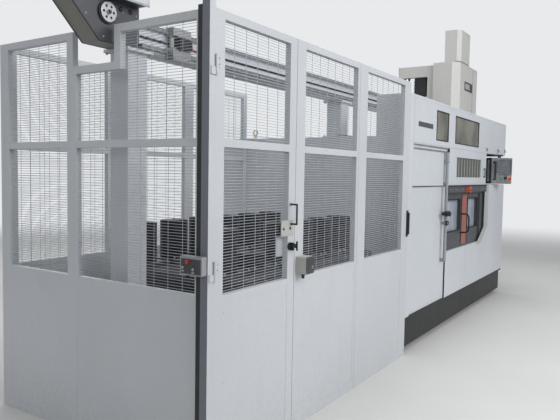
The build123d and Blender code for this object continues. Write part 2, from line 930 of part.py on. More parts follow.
def carriage_frame():
    """The plate on the beam's rails, with the ram's guide and the arm that leads the cables back."""
    x, y = along(left, (carriage_left, carriage_right)), along(front, carriage_plate_y)
    frame = block(x, y, carriage_z)
    rail_front = front + beam_y[0] - rail_proud
    for z in rail_z:
        rail = grow((z, z + rail_width), rail_fit)
        shoe = block(x, (y[1], front + beam_y[0] - rail_fit), grow(rail, shoe_lap))
        frame += shoe - block(grow(x, 1), (rail_front - rail_fit, front + beam_y[0]), rail)
    centre = left + ram_x
    guide_front = front + guide_y
    guide = block(about(centre, guide_width / 2), (guide_front, y[0]), guide_z)
    groove_x = about(centre, rail_width / 2 + rail_fit)
    groove_y = (guide_front - 1, ram_back + ram_rail_proud + rail_fit)
    frame += guide - block(groove_x, groove_y, grow(guide_z, 1))
    cover_back = front + tower_y[1]
    post_x = along(x[0], (0, post_width))
    frame += block(post_x, (cover_back, y[1]), (carriage_z[0], arm_z[0]))
    frame += block(post_x, (y[1], front + post_back), (post_foot, arm_z[0]))
    return frame + block(along(x[0], (0, arm_width)), (cover_back, front + arm_y), arm_z)


ram_back = front + ram_y + ram_size


def folded_box(x, y, z, cut):
    """A box whose two upright front edges are cut off."""
    box = block(x, y, z)
    upright = box.edges().filter_by(Axis.Z).group_by(Axis.Y)[0]
    return chamfer(upright, cut)


def carriage_cover():
    x, y = along(left, tower_x), along(front, tower_y)
    cover = folded_box(x, y, tower_z, tower_chamfer)
    inside_z = (tower_z[0] - 1, tower_z[1] - sheet)
    cover -= folded_box(grow(x, -sheet), grow(y, -sheet), inside_z, tower_chamfer - sheet / 2)
    window_x = about(left + ram_x, guide_width / 2 + guide_window_margin)
    window_z = (tower_z[0] - 1, guide_z[1] + guide_window_margin)
    cover -= block(window_x, (y[1] - sheet - 1, y[1] + 1), window_z)
    slot_y = (y[0] + sheet, front + cap_y[1] + cap_gap)
    return cover - block(grow(along(left, cap_x), cap_gap), slot_y, about(tower_z[1], 2 * sheet))


def carriage_motor():
    x, y = along(left, motor_x), along(front, motor_y)
    top = motor_z[0] + gearbox_height
    body = block(grow(x, -motor_set_in[0]), grow(y, -motor_set_in[1]), (top, motor_z[1]))
    return block(x, y, (motor_z[0], top)) + fillet(body.edges().filter_by(Axis.Z), motor_rounding)


def loader_ram():
    span = about(left + ram_x, ram_size / 2)
    y = (front + ram_y, ram_back)
    tube = block(span, y, ram_z)
    tube -= block(grow(span, -ram_wall), grow(y, -ram_wall), (ram_z[0] + ram_wall, ram_z[1] + 1))
    rail_y = (ram_back, ram_back + ram_rail_proud)
    rail_x = about(left + ram_x, rail_width / 2)
    return tube + block(rail_x, rail_y, grow(ram_z, -ram_rail_inset))


def ram_cover():
    """The sheet cap on the ram's top, open at the back, with a cut-out for the guide."""
    x, y = along(left, cap_x), along(front, cap_y)
    cap = folded_box(x, y, cap_z, cap_chamfer)
    inside_z = (cap_z[0] - 1, cap_z[1] - sheet)
    cap -= folded_box(grow(x, -sheet), (y[0] + sheet, y[1] + 1), inside_z, cap_chamfer - sheet / 2)
    guide_x = about(left + ram_x, guide_width / 2 + guide_window_margin)
    return cap - block(guide_x, (front + guide_y - guide_window_margin / 2, y[1] + 1), grow(cap_z, 1))


def loader_gripper():
    x, y, top = left + ram_x, front + ram_y + ram_size / 2, ram_z[0] - rail_fit
    body_top = top - wrist_height
    body_low = body_top - gripper_height
    gripper = rod_z(x, y, (body_top, top), wrist_radius) + rod_z(x, y, (body_low, body_top), gripper_radius)
    for i in range(3):
        finger = Pos(gripper_radius * 0.7, 0, -finger_height / 2) * Box(*finger_size, finger_height)
        gripper += Pos(x, y, body_low) * Rot(0, 0, i * 120) * finger
    return gripper


def stocker_frame():
    """The stocker's table: a rounded plate on a hollow body, six legs and two foot rails."""
    x, y = along(guard_left, stocker_x), along(front, stocker_y)
    plate_low = stocker_top - stocker_plate
    frame = fillet(block(x, y, (plate_low, stocker_top)).edges().filter_by(Axis.Z), stocker_rounding)
    inset_x, inset_y = stocker_body_inset
    body_x, body_y = grow(x, -inset_x), grow(y, -inset_y)
    body_z = (plate_low - stocker_body, plate_low)
    frame += block(body_x, body_y, body_z)
    frame -= block(*(grow(span, -stocker_body_wall) for span in (body_x, body_y, body_z)))
    far_leg = x[1] - stocker_leg_inset - stocker_leg
    for leg_y in (body_y[0], body_y[1] - stocker_leg):
        leg_y_span = (leg_y, leg_y + stocker_leg)
        for leg_x in (x[0] + stocker_leg_inset, middle(x) - stocker_leg / 2, far_leg):
            frame += block((leg_x, leg_x + stocker_leg), leg_y_span, (0, body_z[0]))
        rail_x = (x[0] + stocker_leg_inset, left + plinth_inset)
        frame += block(rail_x, leg_y_span, along(foot_rail_z, (0, stocker_leg)))
    return frame


def stocker_pallets():
    """A square pallet with an upright guide rod at each place on the table."""
    pallets = []
    for px, py, count in pallet_places():
        plan = [about(centre, pallet_size / 2) for centre in (px, py)]
        pallet = block(*plan, along(stocker_top, (0, pallet_height)))
        rod_top = stocker_top + stack_height(count) + guide_rod_tip
        pallets.append(pallet + rod_z(px, py, (stocker_top, rod_top), guide_rod_radius))
    return Compound(pallets)


def pallet_places():
    count = round((stocker_x[1] - stocker_x[0]) / pallet_pitch)
    for row in pallet_rows:
        for i in range(count):
            picked = row == pallet_rows[0] and i == 1
            x = guard_left + pallet_first + i * pallet_pitch
            yield x, front + row, pick_count if picked else ring_count


def stack_height(count):
    return pallet_height + count * ring_height


def workpiece_stacks():
    """Turned blanks stacked over the pallets' rods, each stack one group."""
    stacks = Part()
    for px, py, count in pallet_places():
        low = stocker_top + pallet_height
        for i in range(count):
            z = low + i * ring_height
            stacks += rod_z(px, py, (z, z + ring_height - ring_gap), ring_radius)
            stacks += rod_z(px, py, (z, z + ring_height), ring_radius - ring_step)
        stacks -= rod_z(px, py, (low - 1, low + count * ring_height + 1), ring_bore)
    return stacks


def mesh_wall(length, openings, sheets):
    """A welded panel: frame bars, wire mesh in each opening and thin sheet in each lower field.

    The panel's x is its length, its front is y = 0 and its foot stands on the floor.
    """
    wall = block((0, length), (0, guard_frame), (0, guard_top))
    mesh_y = ((guard_frame - mesh_thickness) / 2, (guard_frame + mesh_thickness) / 2)
    for x0, x1, z0, z1, columns, rows in openings:
        for y in ((-1, mesh_y[0]), (mesh_y[1], guard_frame + 1)):
            wall -= block((x0, x1), y, (z0, z1))
        wide, high = (x1 - x0) / columns, (z1 - z0) / rows
        gaps = []
        for i in range(columns):
            for j in range(rows):
                gap_x = grow((x0 + i * wide, x0 + (i + 1) * wide), -mesh_bar / 2)
                gap_z = grow((z0 + j * high, z0 + (j + 1) * high), -mesh_bar / 2)
                gaps.append(block(gap_x, grow(mesh_y, 1), gap_z))
        wall = wall - gaps
    for x0, x1 in sheets:
        wall -= block((x0, x1), (sheet, guard_frame + 1), (guard_frame * 2, guard_sheet_top - guard_frame))
    return wall


def fields(x0, x1, columns):
    """The upper and the lower mesh field between two stiles."""
    return [
        (x0, x1, guard_mid[1], guard_mesh_top, columns, 8),
        (x0, x1, guard_sheet_top, guard_mid[0], columns, 10),
    ]


def guard_door():
    length = door_span[1] - door_span[0]
    inner = (door_stile, length - door_stile)
    door = Pos(guard_left + door_span[0], front, 0) * mesh_wall(length, fields(*inner, 2), [inner])
    door -= block((guard_left, left), grow((front, front + guard_frame), 1), (-1, foot_height))
    x = guard_left + door_span[0]
    leaf_width, leaf_thickness = guard_hinge_leaf
    for z in guard_hinge_z:
        leaf = block((x, x + leaf_width), (front - leaf_thickness, front), (z, z + guard_hinge_length))
        door += leaf + hinge_knuckle(x, guard_hinge_y, z, guard_hinge_length)
    return door


guard_hinge_y = front - hinge_radius


def guard_front_wall():
    """The two fixed front panels and the post that the door closes against."""
    wall = Part()
    for span, stiles in ((second_span, second_stiles), (third_span, third_stiles)):
        length = span[1] - span[0]
        inner = (stiles[0], length - stiles[1])
        panel = mesh_wall(length, fields(*inner, 2), [inner])
        wall += Pos(guard_left + span[0], front, 0) * panel
    link = block(
        (guard_left + second_span[1], guard_left + third_span[0]),
        along(front, (guard_frame / 4, guard_frame * 3 / 4)),
        (guard_frame, guard_top - guard_frame),
    )
    return wall + link


def guard_end_wall():
    """The end wall, its top cut away where the beam's drive housing comes through."""
    start = corner_tube + corner_strip
    length = guard_depth - start
    near, far = end_stile, length - end_far_stile
    post, notch = along(-start, end_post), along(-start, notch_y)
    side, under = notch[0] - notch_rim[0], notch_z - notch_rim[1]
    openings = [
        (near, side, under, guard_mesh_top, 2, 3),
        (near, post[0], guard_mid[1], under, 3, 5),
        (near, post[0], guard_sheet_top, guard_mid[0], 3, 9),
        (post[1], far, guard_mid[1], guard_mesh_top, 2, 8),
        (post[1], far, guard_sheet_top, guard_mid[0], 2, 9),
    ]
    wall = mesh_wall(length, openings, [(near, post[0]), (post[1], far)])
    wall -= block(notch, (-1, guard_frame + 1), (notch_z, guard_top + 1))
    wall = mirror(wall, Plane.YZ.offset(length / 2))
    return Pos(guard_left, front + guard_depth, 0) * Rot(0, 0, -90) * wall


def guard_rear_wall():
    start = guard_frame
    length = guard_length - start
    part = length / rear_panels
    openings, sheets = [], []
    for i in range(rear_panels):
        inner = grow((i * part, (i + 1) * part), -rear_stile)
        openings += fields(*inner, 2)
        sheets.append(inner)
    wall = mesh_wall(length, openings, sheets)
    return Pos(guard_left + start, front + guard_depth - guard_frame, 0) * wall


def corner_post():
    """The corner tube, its dark strip and foot, and the fixed halves of the door's hinges."""
    x = (guard_left - corner_out, guard_left + door_span[0] - hinge_gap)
    post = block(x, (front, front + corner_tube), (0, guard_top + corner_above))
    strip_y = along(front + corner_tube, (0, corner_strip))
    post += block(along(guard_left, corner_strip_x), strip_y, (0, guard_top + strip_above))
    post += block((x[0] - corner_foot, x[1]), (front, front + corner_tube), (0, corner_foot_thickness))
    hinge_x = guard_left + door_span[0]
    for z in guard_hinge_z:
        plate_x = (x[0] + hinge_radius, hinge_x)
        plate = block(plate_x, (guard_hinge_y, front), (z - hinge_foot, z - hinge_gap))
        post += plate + hinge_post(hinge_x, guard_hinge_y, z)
    return post


def guard_handle():
    x = guard_left + door_span[1] - guard_handle_inset
    return bow_handle(x, front, guard_handle_reach, guard_handle_z, guard_handle_radius)


def lock_knob():
    x, plate = guard_left + door_span[1] - lock_inset, front - lock_plate
    disc = rod_y(x, (plate, front - lock_fit), lock_z, lock_radius)
    grip_y = (front - lock_grip, plate)
    grip = block(about(x, lock_grip_width / 2), grip_y, about(lock_z, lock_radius))
    return disc + grip


def switch_boxes():
    """The request box on the corner and the interlock box on the second panel."""
    out, inner = (guard_left - reach for reach in request_out)
    y = along(front, request_y)
    request = fillet(block((out, inner), y, request_z).edges().filter_by(Axis.X), box_rounding)
    bracket_z = grow(request_z, -request_bracket_margin)
    bracket_y = along(front + corner_tube + corner_strip, (0, end_stile))
    bracket = block((inner, guard_left), bracket_y, bracket_z)
    x = along(guard_left + second_span[0] + interlock_inset, (0, interlock_length))
    face = front - interlock_depth
    lock = fillet(block(x, (face, front), interlock_z).edges().filter_by(Axis.Y), box_rounding)
    inset, rise, height, radius = interlock_head
    head = rod_y(x[1] - inset, (face - height, face), interlock_z[0] + rise, radius)
    return request + bracket + lock + head


def build_nodes():
    """Every piece by its node name."""
    rear_x = (left + headstock_end_gap, left + headstock_end_gap + headstock_length)
    moving_x = (right - headstock_end_gap - headstock_length, right - headstock_end_gap)
    toe_middle = toe_length / 2
    left_leaf = (left + door_left, left + door_split - door_gap)
    right_leaf = (left + door_split, left + door_right)
    handle_root = (left + handle_x, front + door_set_back)
    return {
        "bed_casting": bed_casting(),
        "levelling_feet": levelling_feet(),
        "chip_conveyor": chip_conveyor(),
        "left_front_cover": left_front_cover(),
        "upper_left_cover": upper_left_cover(),
        "upper_front_cover": upper_front_cover(),
        "upper_window_panes": upper_window_panes(),
        "louvre_cover": louvre_cover(),
        "louvre_slats": louvre_slats(),
        "door_lintel": door_lintel(),
        "front_apron": front_apron(),
        "right_front_cover": right_front_cover(),
        "rear_covers": rear_covers(),
        "roof_cover": roof_cover(),
        "service_pipe": service_pipe(),
        "electrical_cabinet": electrical_cabinet(),
        "cabinet_door": cabinet_door(),
        "main_switch": main_switch(),
        "left_headstock": headstock(rear_x, 0),
        "left_chuck": spindle_chuck(rear_x[1], 1),
        "right_headstock": headstock(moving_x, way_fit),
        "right_chuck": spindle_chuck(moving_x[0], -1),
        "upper_saddle": turret_saddle(bed_plane, upper_turret_up),
        "upper_cross_slide": cross_slide(bed_plane, upper_turret_up, spindle_above, 1),
        "upper_turret": turret(bed_plane, upper_turret_up, spindle_above),
        "lower_saddle": turret_saddle(toe_plane, toe_middle),
        "lower_cross_slide": cross_slide(toe_plane, lower_turret_up, lower_above, -1),
        "lower_turret": turret(toe_plane, lower_turret_up, lower_above),
        "left_door": door_leaf(left_leaf, along(left, left_pane)),
        "left_door_pane": door_pane(along(left, left_pane)),
        "right_door": door_leaf(right_leaf, along(left, right_pane)),
        "right_door_pane": door_pane(along(left, right_pane)),
        "door_handle": bow_handle(*handle_root, handle_reach, handle_z, handle_radius),
        "pendant_arm": pendant_arm(),
        "pendant_box": pendant_box(),
        "emergency_stop": pendant_knob(stop_place, stop_stem, *stop_head),
        "start_button": pendant_knob(start_place, start_stem, *start_head),
        "feed_dial": feed_dial(),
        "beam_supports": beam_supports(),
        "gantry_beam": gantry_beam(),
        "beam_rails": beam_rails(),
        "drive_housing": drive_housing(),
        "drive_pulley": drive_pulley(),
        "carriage_frame": carriage_frame(),
        "carriage_cover": carriage_cover(),
        "carriage_motor": carriage_motor(),
        "loader_ram": loader_ram(),
        "ram_cover": ram_cover(),
        "loader_gripper": loader_gripper(),
        "stocker_frame": stocker_frame(),
        "stocker_pallets": stocker_pallets(),
        "workpiece_stacks": workpiece_stacks(),
        "guard_front_wall": guard_front_wall(),
        "guard_end_wall": guard_end_wall(),
        "guard_rear_wall": guard_rear_wall(),
        "guard_door": guard_door(),
        "corner_post": corner_post(),
        "guard_handle": guard_handle(),
        "lock_knob": lock_knob(),
        "switch_boxes": switch_boxes(),
    }


os.makedirs("parts", exist_ok=True)
for name, shape in build_nodes().items():
    export_step(shape, f"parts/{name}.step")
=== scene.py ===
import itertools
import math

import bmesh
import bpy
from mathutils import Matrix, Vector


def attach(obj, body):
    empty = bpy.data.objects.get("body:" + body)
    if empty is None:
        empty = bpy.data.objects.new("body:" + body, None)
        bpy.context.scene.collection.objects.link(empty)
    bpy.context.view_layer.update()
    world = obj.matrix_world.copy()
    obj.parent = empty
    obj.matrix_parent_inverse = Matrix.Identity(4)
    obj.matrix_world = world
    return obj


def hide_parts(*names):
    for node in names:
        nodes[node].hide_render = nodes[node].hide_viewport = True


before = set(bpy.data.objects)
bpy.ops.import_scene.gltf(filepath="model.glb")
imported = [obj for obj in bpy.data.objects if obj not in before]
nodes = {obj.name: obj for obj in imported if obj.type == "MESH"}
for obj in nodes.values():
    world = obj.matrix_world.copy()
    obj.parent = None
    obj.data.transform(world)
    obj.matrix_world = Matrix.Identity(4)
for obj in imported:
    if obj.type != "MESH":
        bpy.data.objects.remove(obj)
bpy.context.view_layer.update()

# Metres in the row frame: the lathe's left side and front, and the guard's left side
left, front = -0.220, -0.350
guardLeft = left - 2.830
atLathe = Matrix.Translation((left, front, 0))
atGuard = Matrix.Translation((guardLeft, front, 0))


class Wire:
    # One socket of a material, so that sums read as sums
    def __init__(self, finish, socket):
        self.finish, self.socket = finish, socket

    def calc(self, kind, first, second):
        return self.finish.node("Math", {"operation": kind}, {0: first, 1: second})

    def __add__(self, other):
        return self.calc("ADD", self, other)

    def __sub__(self, other):
        return self.calc("SUBTRACT", self, other)

    def __rsub__(self, other):
        return self.calc("SUBTRACT", other, self)

    def __mul__(self, other):
        return self.calc("MULTIPLY", self, other)

    __radd__ = __add__
    __rmul__ = __mul__

    def between(self, low, high):
        spans = {"Value": self, "From Min": low, "From Max": high}
        return self.finish.node("MapRange", {"interpolation_type": "SMOOTHSTEP"}, spans)


class Finish:
    def __init__(self, name):
        self.material = bpy.data.materials.new(name)
        self.material.use_nodes = True
        self.tree = self.material.node_tree
        self.shader = self.tree.nodes["Principled BSDF"]
        self.place = self.node("TexCoord", output="Object")

    def node(self, kind, settings=(), values=(), output=0):
        made = self.tree.nodes.new("ShaderNode" + kind)
        for key, value in dict(settings).items():
            setattr(made, key, value)
        for key, value in dict(values).items():
            self.plug(made.inputs[key], value)
        return Wire(self, made.outputs[output])

    def plug(self, socket, value):
        if isinstance(value, Wire):
            self.tree.links.new(value.socket, socket)
        else:
            socket.default_value = value

    def set(self, values):
        for key, value in values.items():
            self.plug(self.shader.inputs[key], value)
        return self.material

    def noise(self, scale, detail=3, stretch=None):
        place = self.place
        if stretch:
            place = self.node("VectorMath", {"operation": "MULTIPLY"}, {0: place, 1: stretch})
        return self.node("TexNoise", {}, {"Vector": place, "Scale": scale, "Detail": detail})

    def part(self, axis):
        return self.node("SeparateXYZ", {}, {0: self.place}, output=axis)

    def mix(self, first, second, factor):
        return self.node("Mix", {"data_type": "RGBA"}, {0: factor, 6: first, 7: second}, output=2)

    def bump(self, height, distance):
        return self.node("Bump", {}, {"Height": height, "Distance": distance, "Strength": 1.0}, output="Normal")


def colour(*screen):
    # A colour as it is written on a screen, 0 to 255, made linear
    shares = [value / 255 for value in screen]
    return tuple(v / 12.92 if v <= 0.04045 else ((v + 0.055) / 1.055) ** 2.4 for v in shares) + (1.0,)


def scaled(tone, share):
    return tuple(min(value * share, 1.0) for value in tone[:3]) + (1.0,)


def paint(name, tone, rough=0.42, dust=0.25, peel=0.00025):
    # Sheet metal paint: cloudy tone, orange peel, dust near the floor and faint runs
    f, tone = Finish(name), colour(*tone)
    cloud = f.noise(1.1, 4).between(0.35, 0.65)
    fine = f.noise(38, 5).between(0.3, 0.7)
    runs = f.noise(2.2, 4, (6, 6, 0.35)).between(0.52, 0.8)
    low = 1 - f.part("Z").between(0.02, 0.55)
    tint = f.mix(scaled(tone, 0.955), scaled(tone, 1.03), cloud)
    tint = f.mix(tint, scaled(tone, 0.93), fine * 0.35)
    soiled = tuple(a * 0.72 + b * 0.28 for a, b in zip(tone, colour(120, 108, 92)))
    tint = f.mix(tint, soiled, (runs * 0.28 + low * fine * 0.75) * dust)
    peelNoise = f.noise(420, 2) * 0.6 + f.noise(60, 2) * 0.4
    return f.set({
        "Base Color": tint,
        "Roughness": rough + fine * 0.08 + runs * 0.05 - cloud * 0.04,
        "Coat Weight": 0.15,
        "Normal": f.bump(peelNoise, peel),
    })


def metal(name, tone, rough=0.35, grain=(1, 1, 30), depth=0.0001, stain=0.3, metallic=1.0):
    # Machined or ground metal: fine lines along one axis and darker oil stains
    f, tone = Finish(name), colour(*tone)
    lines = f.noise(45, 4, grain)
    stains = f.noise(7, 4).between(0.45, 0.75)
    tint = f.mix(scaled(tone, 0.82), scaled(tone, 1.12), lines.between(0.3, 0.7))
    tint = f.mix(tint, scaled(tone, 0.45), stains * stain)
    return f.set({
        "Base Color": tint,
        "Metallic": metallic,
        "Roughness": rough + lines * 0.16 + stains * 0.12 - 0.06,
        "Normal": f.bump(lines, depth),
    })


def casting(name, tone, rough=0.55):
    # Sand-cast iron under a thin grey paint, with chips and oily film
    f, tone = Finish(name), colour(*tone)
    coarse = f.noise(22, 6)
    grain = f.noise(240, 3)
    film = f.noise(3, 4).between(0.4, 0.72)
    tint = f.mix(scaled(tone, 0.8), scaled(tone, 1.15), coarse.between(0.35, 0.65))
    tint = f.mix(tint, colour(38, 36, 32), film * 0.35)
    return f.set({
        "Base Color": tint,
        "Roughness": rough - film * 0.22 + grain * 0.1,
        "Metallic": 0.25,
        "Normal": f.bump(coarse * 0.6 + grain * 0.4, 0.0012),
    })


def plastic(name, tone, rough=0.45, grain=0.0002, coat=0.0):
    # Moulded plastic: fine leather grain, rubbed brighter and darker in patches
    f, tone = Finish(name), colour(*tone)
    texture = f.node("TexVoronoi", {}, {"Vector": f.place, "Scale": 620.0})
    rubbed = f.noise(14, 4).between(0.4, 0.7)
    tint = f.mix(scaled(tone, 0.9), scaled(tone, 1.18), rubbed)
    return f.set({
        "Base Color": tint,
        "Roughness": rough - rubbed * 0.12 + texture * 0.1,
        "Coat Weight": coat,
        "Normal": f.bump(texture, grain),
    })


def window(name, tone, shadeTone, alpha, rough=0.08):
    # A pane whose colour holds painted soft, broken reflections, mixed by noise from a painted shade tone and a lit
    # tone, and a film of dried coolant
    f = Finish(name)
    paintedReflections = f.noise(3.2, 3, (1, 1, 0.7)).between(0.35, 0.66)
    film = f.noise(16, 5, (1, 1, 0.25)).between(0.45, 0.8)
    specks = f.noise(160, 2).between(0.66, 0.74)
    # Painted reflections: the base colour swings by noise between the shade tone and the lit tone
    tint = f.mix(shadeTone, tone, paintedReflections)
    tint = f.mix(tint, scaled(tone, 1.12), film * 0.4)
    return f.set({
        "Base Color": tint,
        "Roughness": rough + film * 0.16 + specks * 0.2,
        "Coat Weight": 0.5,
        "Alpha": alpha + film * 0.08 + specks * 0.1,
    })


whitePaint = paint("machineWhitePaint", (192, 196, 201))
guardPaint = paint("guardWhitePaint", (186, 189, 193), rough=0.48, dust=0.4, peel=0.0002)
towerPaint = paint("towerWarmGreyPaint", (182, 181, 177), rough=0.5)
darkPaint = paint("doorDarkGreyPaint", (66, 69, 73), rough=0.4, dust=0.5)
bluePaint = paint("cornerTubeBluePaint", (104, 109, 117), rough=0.4)
greyPaint = paint("boxGreyPaint", (140, 143, 145), rough=0.55, peel=0.0008)
beigePaint = paint("interlockBeigePaint", (170, 170, 164), rough=0.5)
pipePaint = paint("pipeGreyPaint", (138, 143, 150), rough=0.38)
slatPaint = paint("louvreSlatPaint", (84, 87, 82), rough=0.45)
stockerPaint = paint("stockerDarkPaint", (52, 53, 55), rough=0.5, dust=0.8)
redPaint = paint("stripeRedPaint", (150, 88, 78), rough=0.5, dust=0.6)
bezelPaint = paint("bezelGreyPaint", (166, 168, 166), rough=0.5)
plinthPaint = paint("plinthBlackPaint", (17, 18, 20), rough=0.6, dust=0.12)
housingPaint = paint("housingDarkGreyPaint", (66, 68, 74), rough=0.45, dust=0.5)
slantPaint = paint("housingMidGreyPaint", (112, 111, 106), rough=0.5)
castIron = casting("bedCastGrey", (112, 115, 116))
brushedSteel = metal("brushedSteel", (176, 178, 180))
groundSteel = metal("groundSteel", (196, 198, 200), rough=0.22, grain=(0.4, 12, 12), depth=0.00004)
turnedSteel = metal("turnedSteel", (170, 172, 175), rough=0.3, grain=(22, 2, 2))
zincSteel = metal("zincScrews", (186, 188, 190), rough=0.32, grain=(4, 4, 4), stain=0.5)
toolSteel = metal("blackenedToolSteel", (78, 78, 82), rough=0.38, grain=(3, 3, 14))
blankSteel = metal("darkBlanks", (42, 42, 46), rough=0.4, grain=(2, 2, 26), stain=0.5, metallic=0.6)
wireMetal = metal("meshWire", (178, 182, 188), rough=0.45, grain=(3, 3, 3), stain=0.2, metallic=0.25)
yellowZinc = metal("yellowZinc", (196, 168, 96), rough=0.35, grain=(5, 5, 5))
blackPlastic = plastic("blackPlastic", (30, 30, 33))
rubber = plastic("blackRubber", (24, 24, 25), rough=0.7, grain=0.0004)
pendantGrey = plastic("pendantGrey", (108, 110, 113), rough=0.5)
darkPlastic = plastic("darkGreyPlastic", (58, 60, 64), rough=0.5)
greyPlastic = plastic("greyPlastic", (150, 153, 156), rough=0.45)
redPlastic = plastic("redPlastic", (196, 36, 30), rough=0.28, coat=0.5)
greenPlastic = plastic("greenPlastic", (36, 142, 74), rough=0.28, coat=0.5)
redHousing = plastic("redSwitchHousing", (188, 84, 66), rough=0.4)
yellowRing = plastic("yellowRing", (214, 176, 40), rough=0.4)
doorPane = window("doorPaneGlass", colour(178, 184, 194), colour(150, 158, 170), 0.93)
hoodPane = window("hoodPaneGlass", colour(136, 133, 120), colour(84, 82, 74), 0.82)


def screenFinish():
    # A dim screen with rows of plain marks
    f = Finish("pendantScreen")
    rows = f.node("TexWave", {"bands_direction": "Z"}, {"Vector": f.place, "Scale": 22.0, "Distortion": 0.0})
    marks = f.noise(75, 1, (3, 3, 1)).between(0.5, 0.56) * rows.between(0.55, 0.65)
    tint = f.mix(colour(62, 66, 72), colour(150, 158, 166), marks)
    return f.set({
        "Base Color": tint,
        "Roughness": 0.22 + f.noise(20, 3) * 0.08,
        "Emission Color": tint,
        "Emission Strength": 0.12,
        "Coat Weight": 0.6,
    })


pendantScreen = screenFinish()


toLeft, toRight = Vector((-1, 0, 0)), Vector((1, 0, 0))
toFront, toBack = Vector((0, -1, 0)), Vector((0, 1, 0))
down, up = Vector((0, 0, -1)), Vector((0, 0, 1))
coverScrew, lidScrew, plateScrew, smallScrew = (0.0045, 0.0022), (0.005, 0.003), (0.004, 0.002), (0.003, 0.002)


def steps(start, step, count):
    return tuple(start + step * i for i in range(count))


def about(middle, half):
    return middle - half, middle + half


def within(span, by):
    return span[0] + by, span[1] - by


def spread(x, y, z):
    # Every point with its coordinates from x, y and z, each of them one number or several
    return itertools.product(*(axis if isinstance(axis, tuple) else (axis,) for axis in (x, y, z)))


def circle(middle, along, radius, sides, turn=0.0, across=None):
    across = across or along.orthogonal().normalized()
    other = along.cross(across)
    angles = [math.tau * (i + turn) / sides for i in range(sides)]
    return [middle + (across * math.cos(angle) + other * math.sin(angle)) * radius for angle in angles]


class Form:
    # Collects the solids of one piece; place puts local metres into the row frame
    def __init__(self, place, finish):
        self.mesh = bmesh.new()
        self.place = place
        self.finishes = [finish]
        self.current = 0

    def use(self, finish):
        if finish not in self.finishes:
            self.finishes.append(finish)
        self.current = self.finishes.index(finish)
        return self

    def solid(self, points, faces):
        verts = [self.mesh.verts.new(self.place @ Vector(point)) for point in points]
        for face in faces:
            made = self.mesh.faces.new([verts[i] for i in face])
            made.material_index = self.current

    def box(self, x, y, z):
        points = [(a, b, c) for a in x for b in y for c in z]
        self.solid(points, [(0, 1, 3, 2), (4, 6, 7, 5), (0, 4, 5, 1), (2, 3, 7, 6), (0, 2, 6, 4), (1, 5, 7, 3)])

    def loft(self, rings, closed=False):
        # A skin over rings of equally many points; its ends are filled, or joined where it is closed
        sides, count = len(rings[0]), len(rings)
        faces = []
        for i in range(count if closed else count - 1):
            a, b = i * sides, (i + 1) % count * sides
            faces += [(a + k, a + (k + 1) % sides, b + (k + 1) % sides, b + k) for k in range(sides)]
        if not closed:
            faces += [tuple(range(sides))[::-1], tuple(range((count - 1) * sides, count * sides))]
        self.solid([point for ring in rings for point in ring], faces)

    def rod(self, start, end, radius, sides):
        start, end = Vector(start), Vector(end)
        along = (end - start).normalized()
        self.loft([circle(spot, along, radius, sides, turn=0.5) for spot in (start, end)])

    def turned(self, x, y, z, along, profile, sides=20):
        # Turned parts at every spot; profile holds pairs of distance along the axis and radius
        for spot in spread(x, y, z):
            rings = [circle(Vector(spot) + along * reach, along, radius, sides) for reach, radius in profile]
            self.loft(rings)

    def tube(self, spot, along, inner, outer, length, sides):
        # A short open ring
        profile = ((0, inner), (0, outer), (length, outer), (length, inner))
        rings = [circle(Vector(spot) + along * reach, along, radius, sides) for reach, radius in profile]
        self.loft(rings, closed=True)

    def sweep(self, corners, radius, bend, sides):
        # A round bar along straight runs, with rounded bends between them
        corners = [Vector(corner) for corner in corners]
        path = [corners[0]]
        for before, corner, after in zip(corners, corners[1:], corners[2:]):
            first = corner + (before - corner).normalized() * bend
            last = corner + (after - corner).normalized() * bend
            for share in steps(0, 0.125, 9):
                path.append(first.lerp(corner, share).lerp(corner.lerp(last, share), share))
        path.append(corners[-1])
        across = (path[1] - path[0]).orthogonal()
        rings = []
        for before, spot, after in zip(path[:1] + path, path, path[1:] + path[-1:]):
            along = (after - before).normalized()
            across = (across - along * across.dot(along)).normalized()
            rings.append(circle(spot, along, radius, sides, across=across))
        self.loft(rings)

    def prism(self, outline, depth, spot):
        # An outline of pairs, given depth; spot turns (u, w, depth) into a point
        count = len(outline)
        points = [spot(u, w, d) for d in depth for u, w in outline]
        faces = [tuple(range(count)), tuple(range(count, 2 * count))[::-1]]
        faces += [(i, (i + 1) % count, count + (i + 1) % count, count + i) for i in range(count)]
        self.solid(points, faces)

    def grid(self, us, ws, filled, depth):
        # A flat frame in local x and z: every filled cell between the cuts is solid
        cells = {(i, j) for i in range(len(us) - 1) for j in range(len(ws) - 1) if filled(i, j)}
        made = {}

        def vert(i, j, side):
            if (i, j, side) not in made:
                made[i, j, side] = self.mesh.verts.new(self.place @ Vector((us[i], depth[side], ws[j])))
            return made[i, j, side]

        for i, j in cells:
            loop = [(i, j), (i + 1, j), (i + 1, j + 1), (i, j + 1)]
            walls = ((0, -1), (1, 0), (0, 1), (-1, 0))
            rings = [[vert(*spot, 0) for spot in loop], [vert(*spot, 1) for spot in reversed(loop)]]
            for k, (stepI, stepJ) in enumerate(walls):
                if (i + stepI, j + stepJ) not in cells:
                    a, b = loop[k], loop[(k + 1) % 4]
                    rings.append([vert(*b, 0), vert(*a, 0), vert(*a, 1), vert(*b, 1)])
            for ring in rings:
                self.mesh.faces.new(ring).material_index = self.current

    def ring(self, x, z, width, depth):
        # A rectangular frame of one width round an opening
        us = (x[0] - width, x[0], x[1], x[1] + width)
        ws = (z[0] - width, z[0], z[1], z[1] + width)
        self.grid(us, ws, lambda i, j: (i, j) != (1, 1), depth)

    def row(self, count, step, x, y, z):
        # Equal boxes, each one step further on
        for i in range(count):
            self.box(*[(low + i * move, high + i * move) for (low, high), move in zip((x, y, z), step)])

    def screw(self, x, y, z, along, size=(0.006, 0.004), finish=None):
        # Button-head screws with a recess, at every spot
        self.use(finish or zincSteel)
        radius, height = size
        profile = [(0, radius), (height * 0.5, radius), (height, radius * 0.6), (height, radius * 0.42),
                   (height * 0.35, radius * 0.4)]
        self.turned(x, y, z, along, profile, 12)

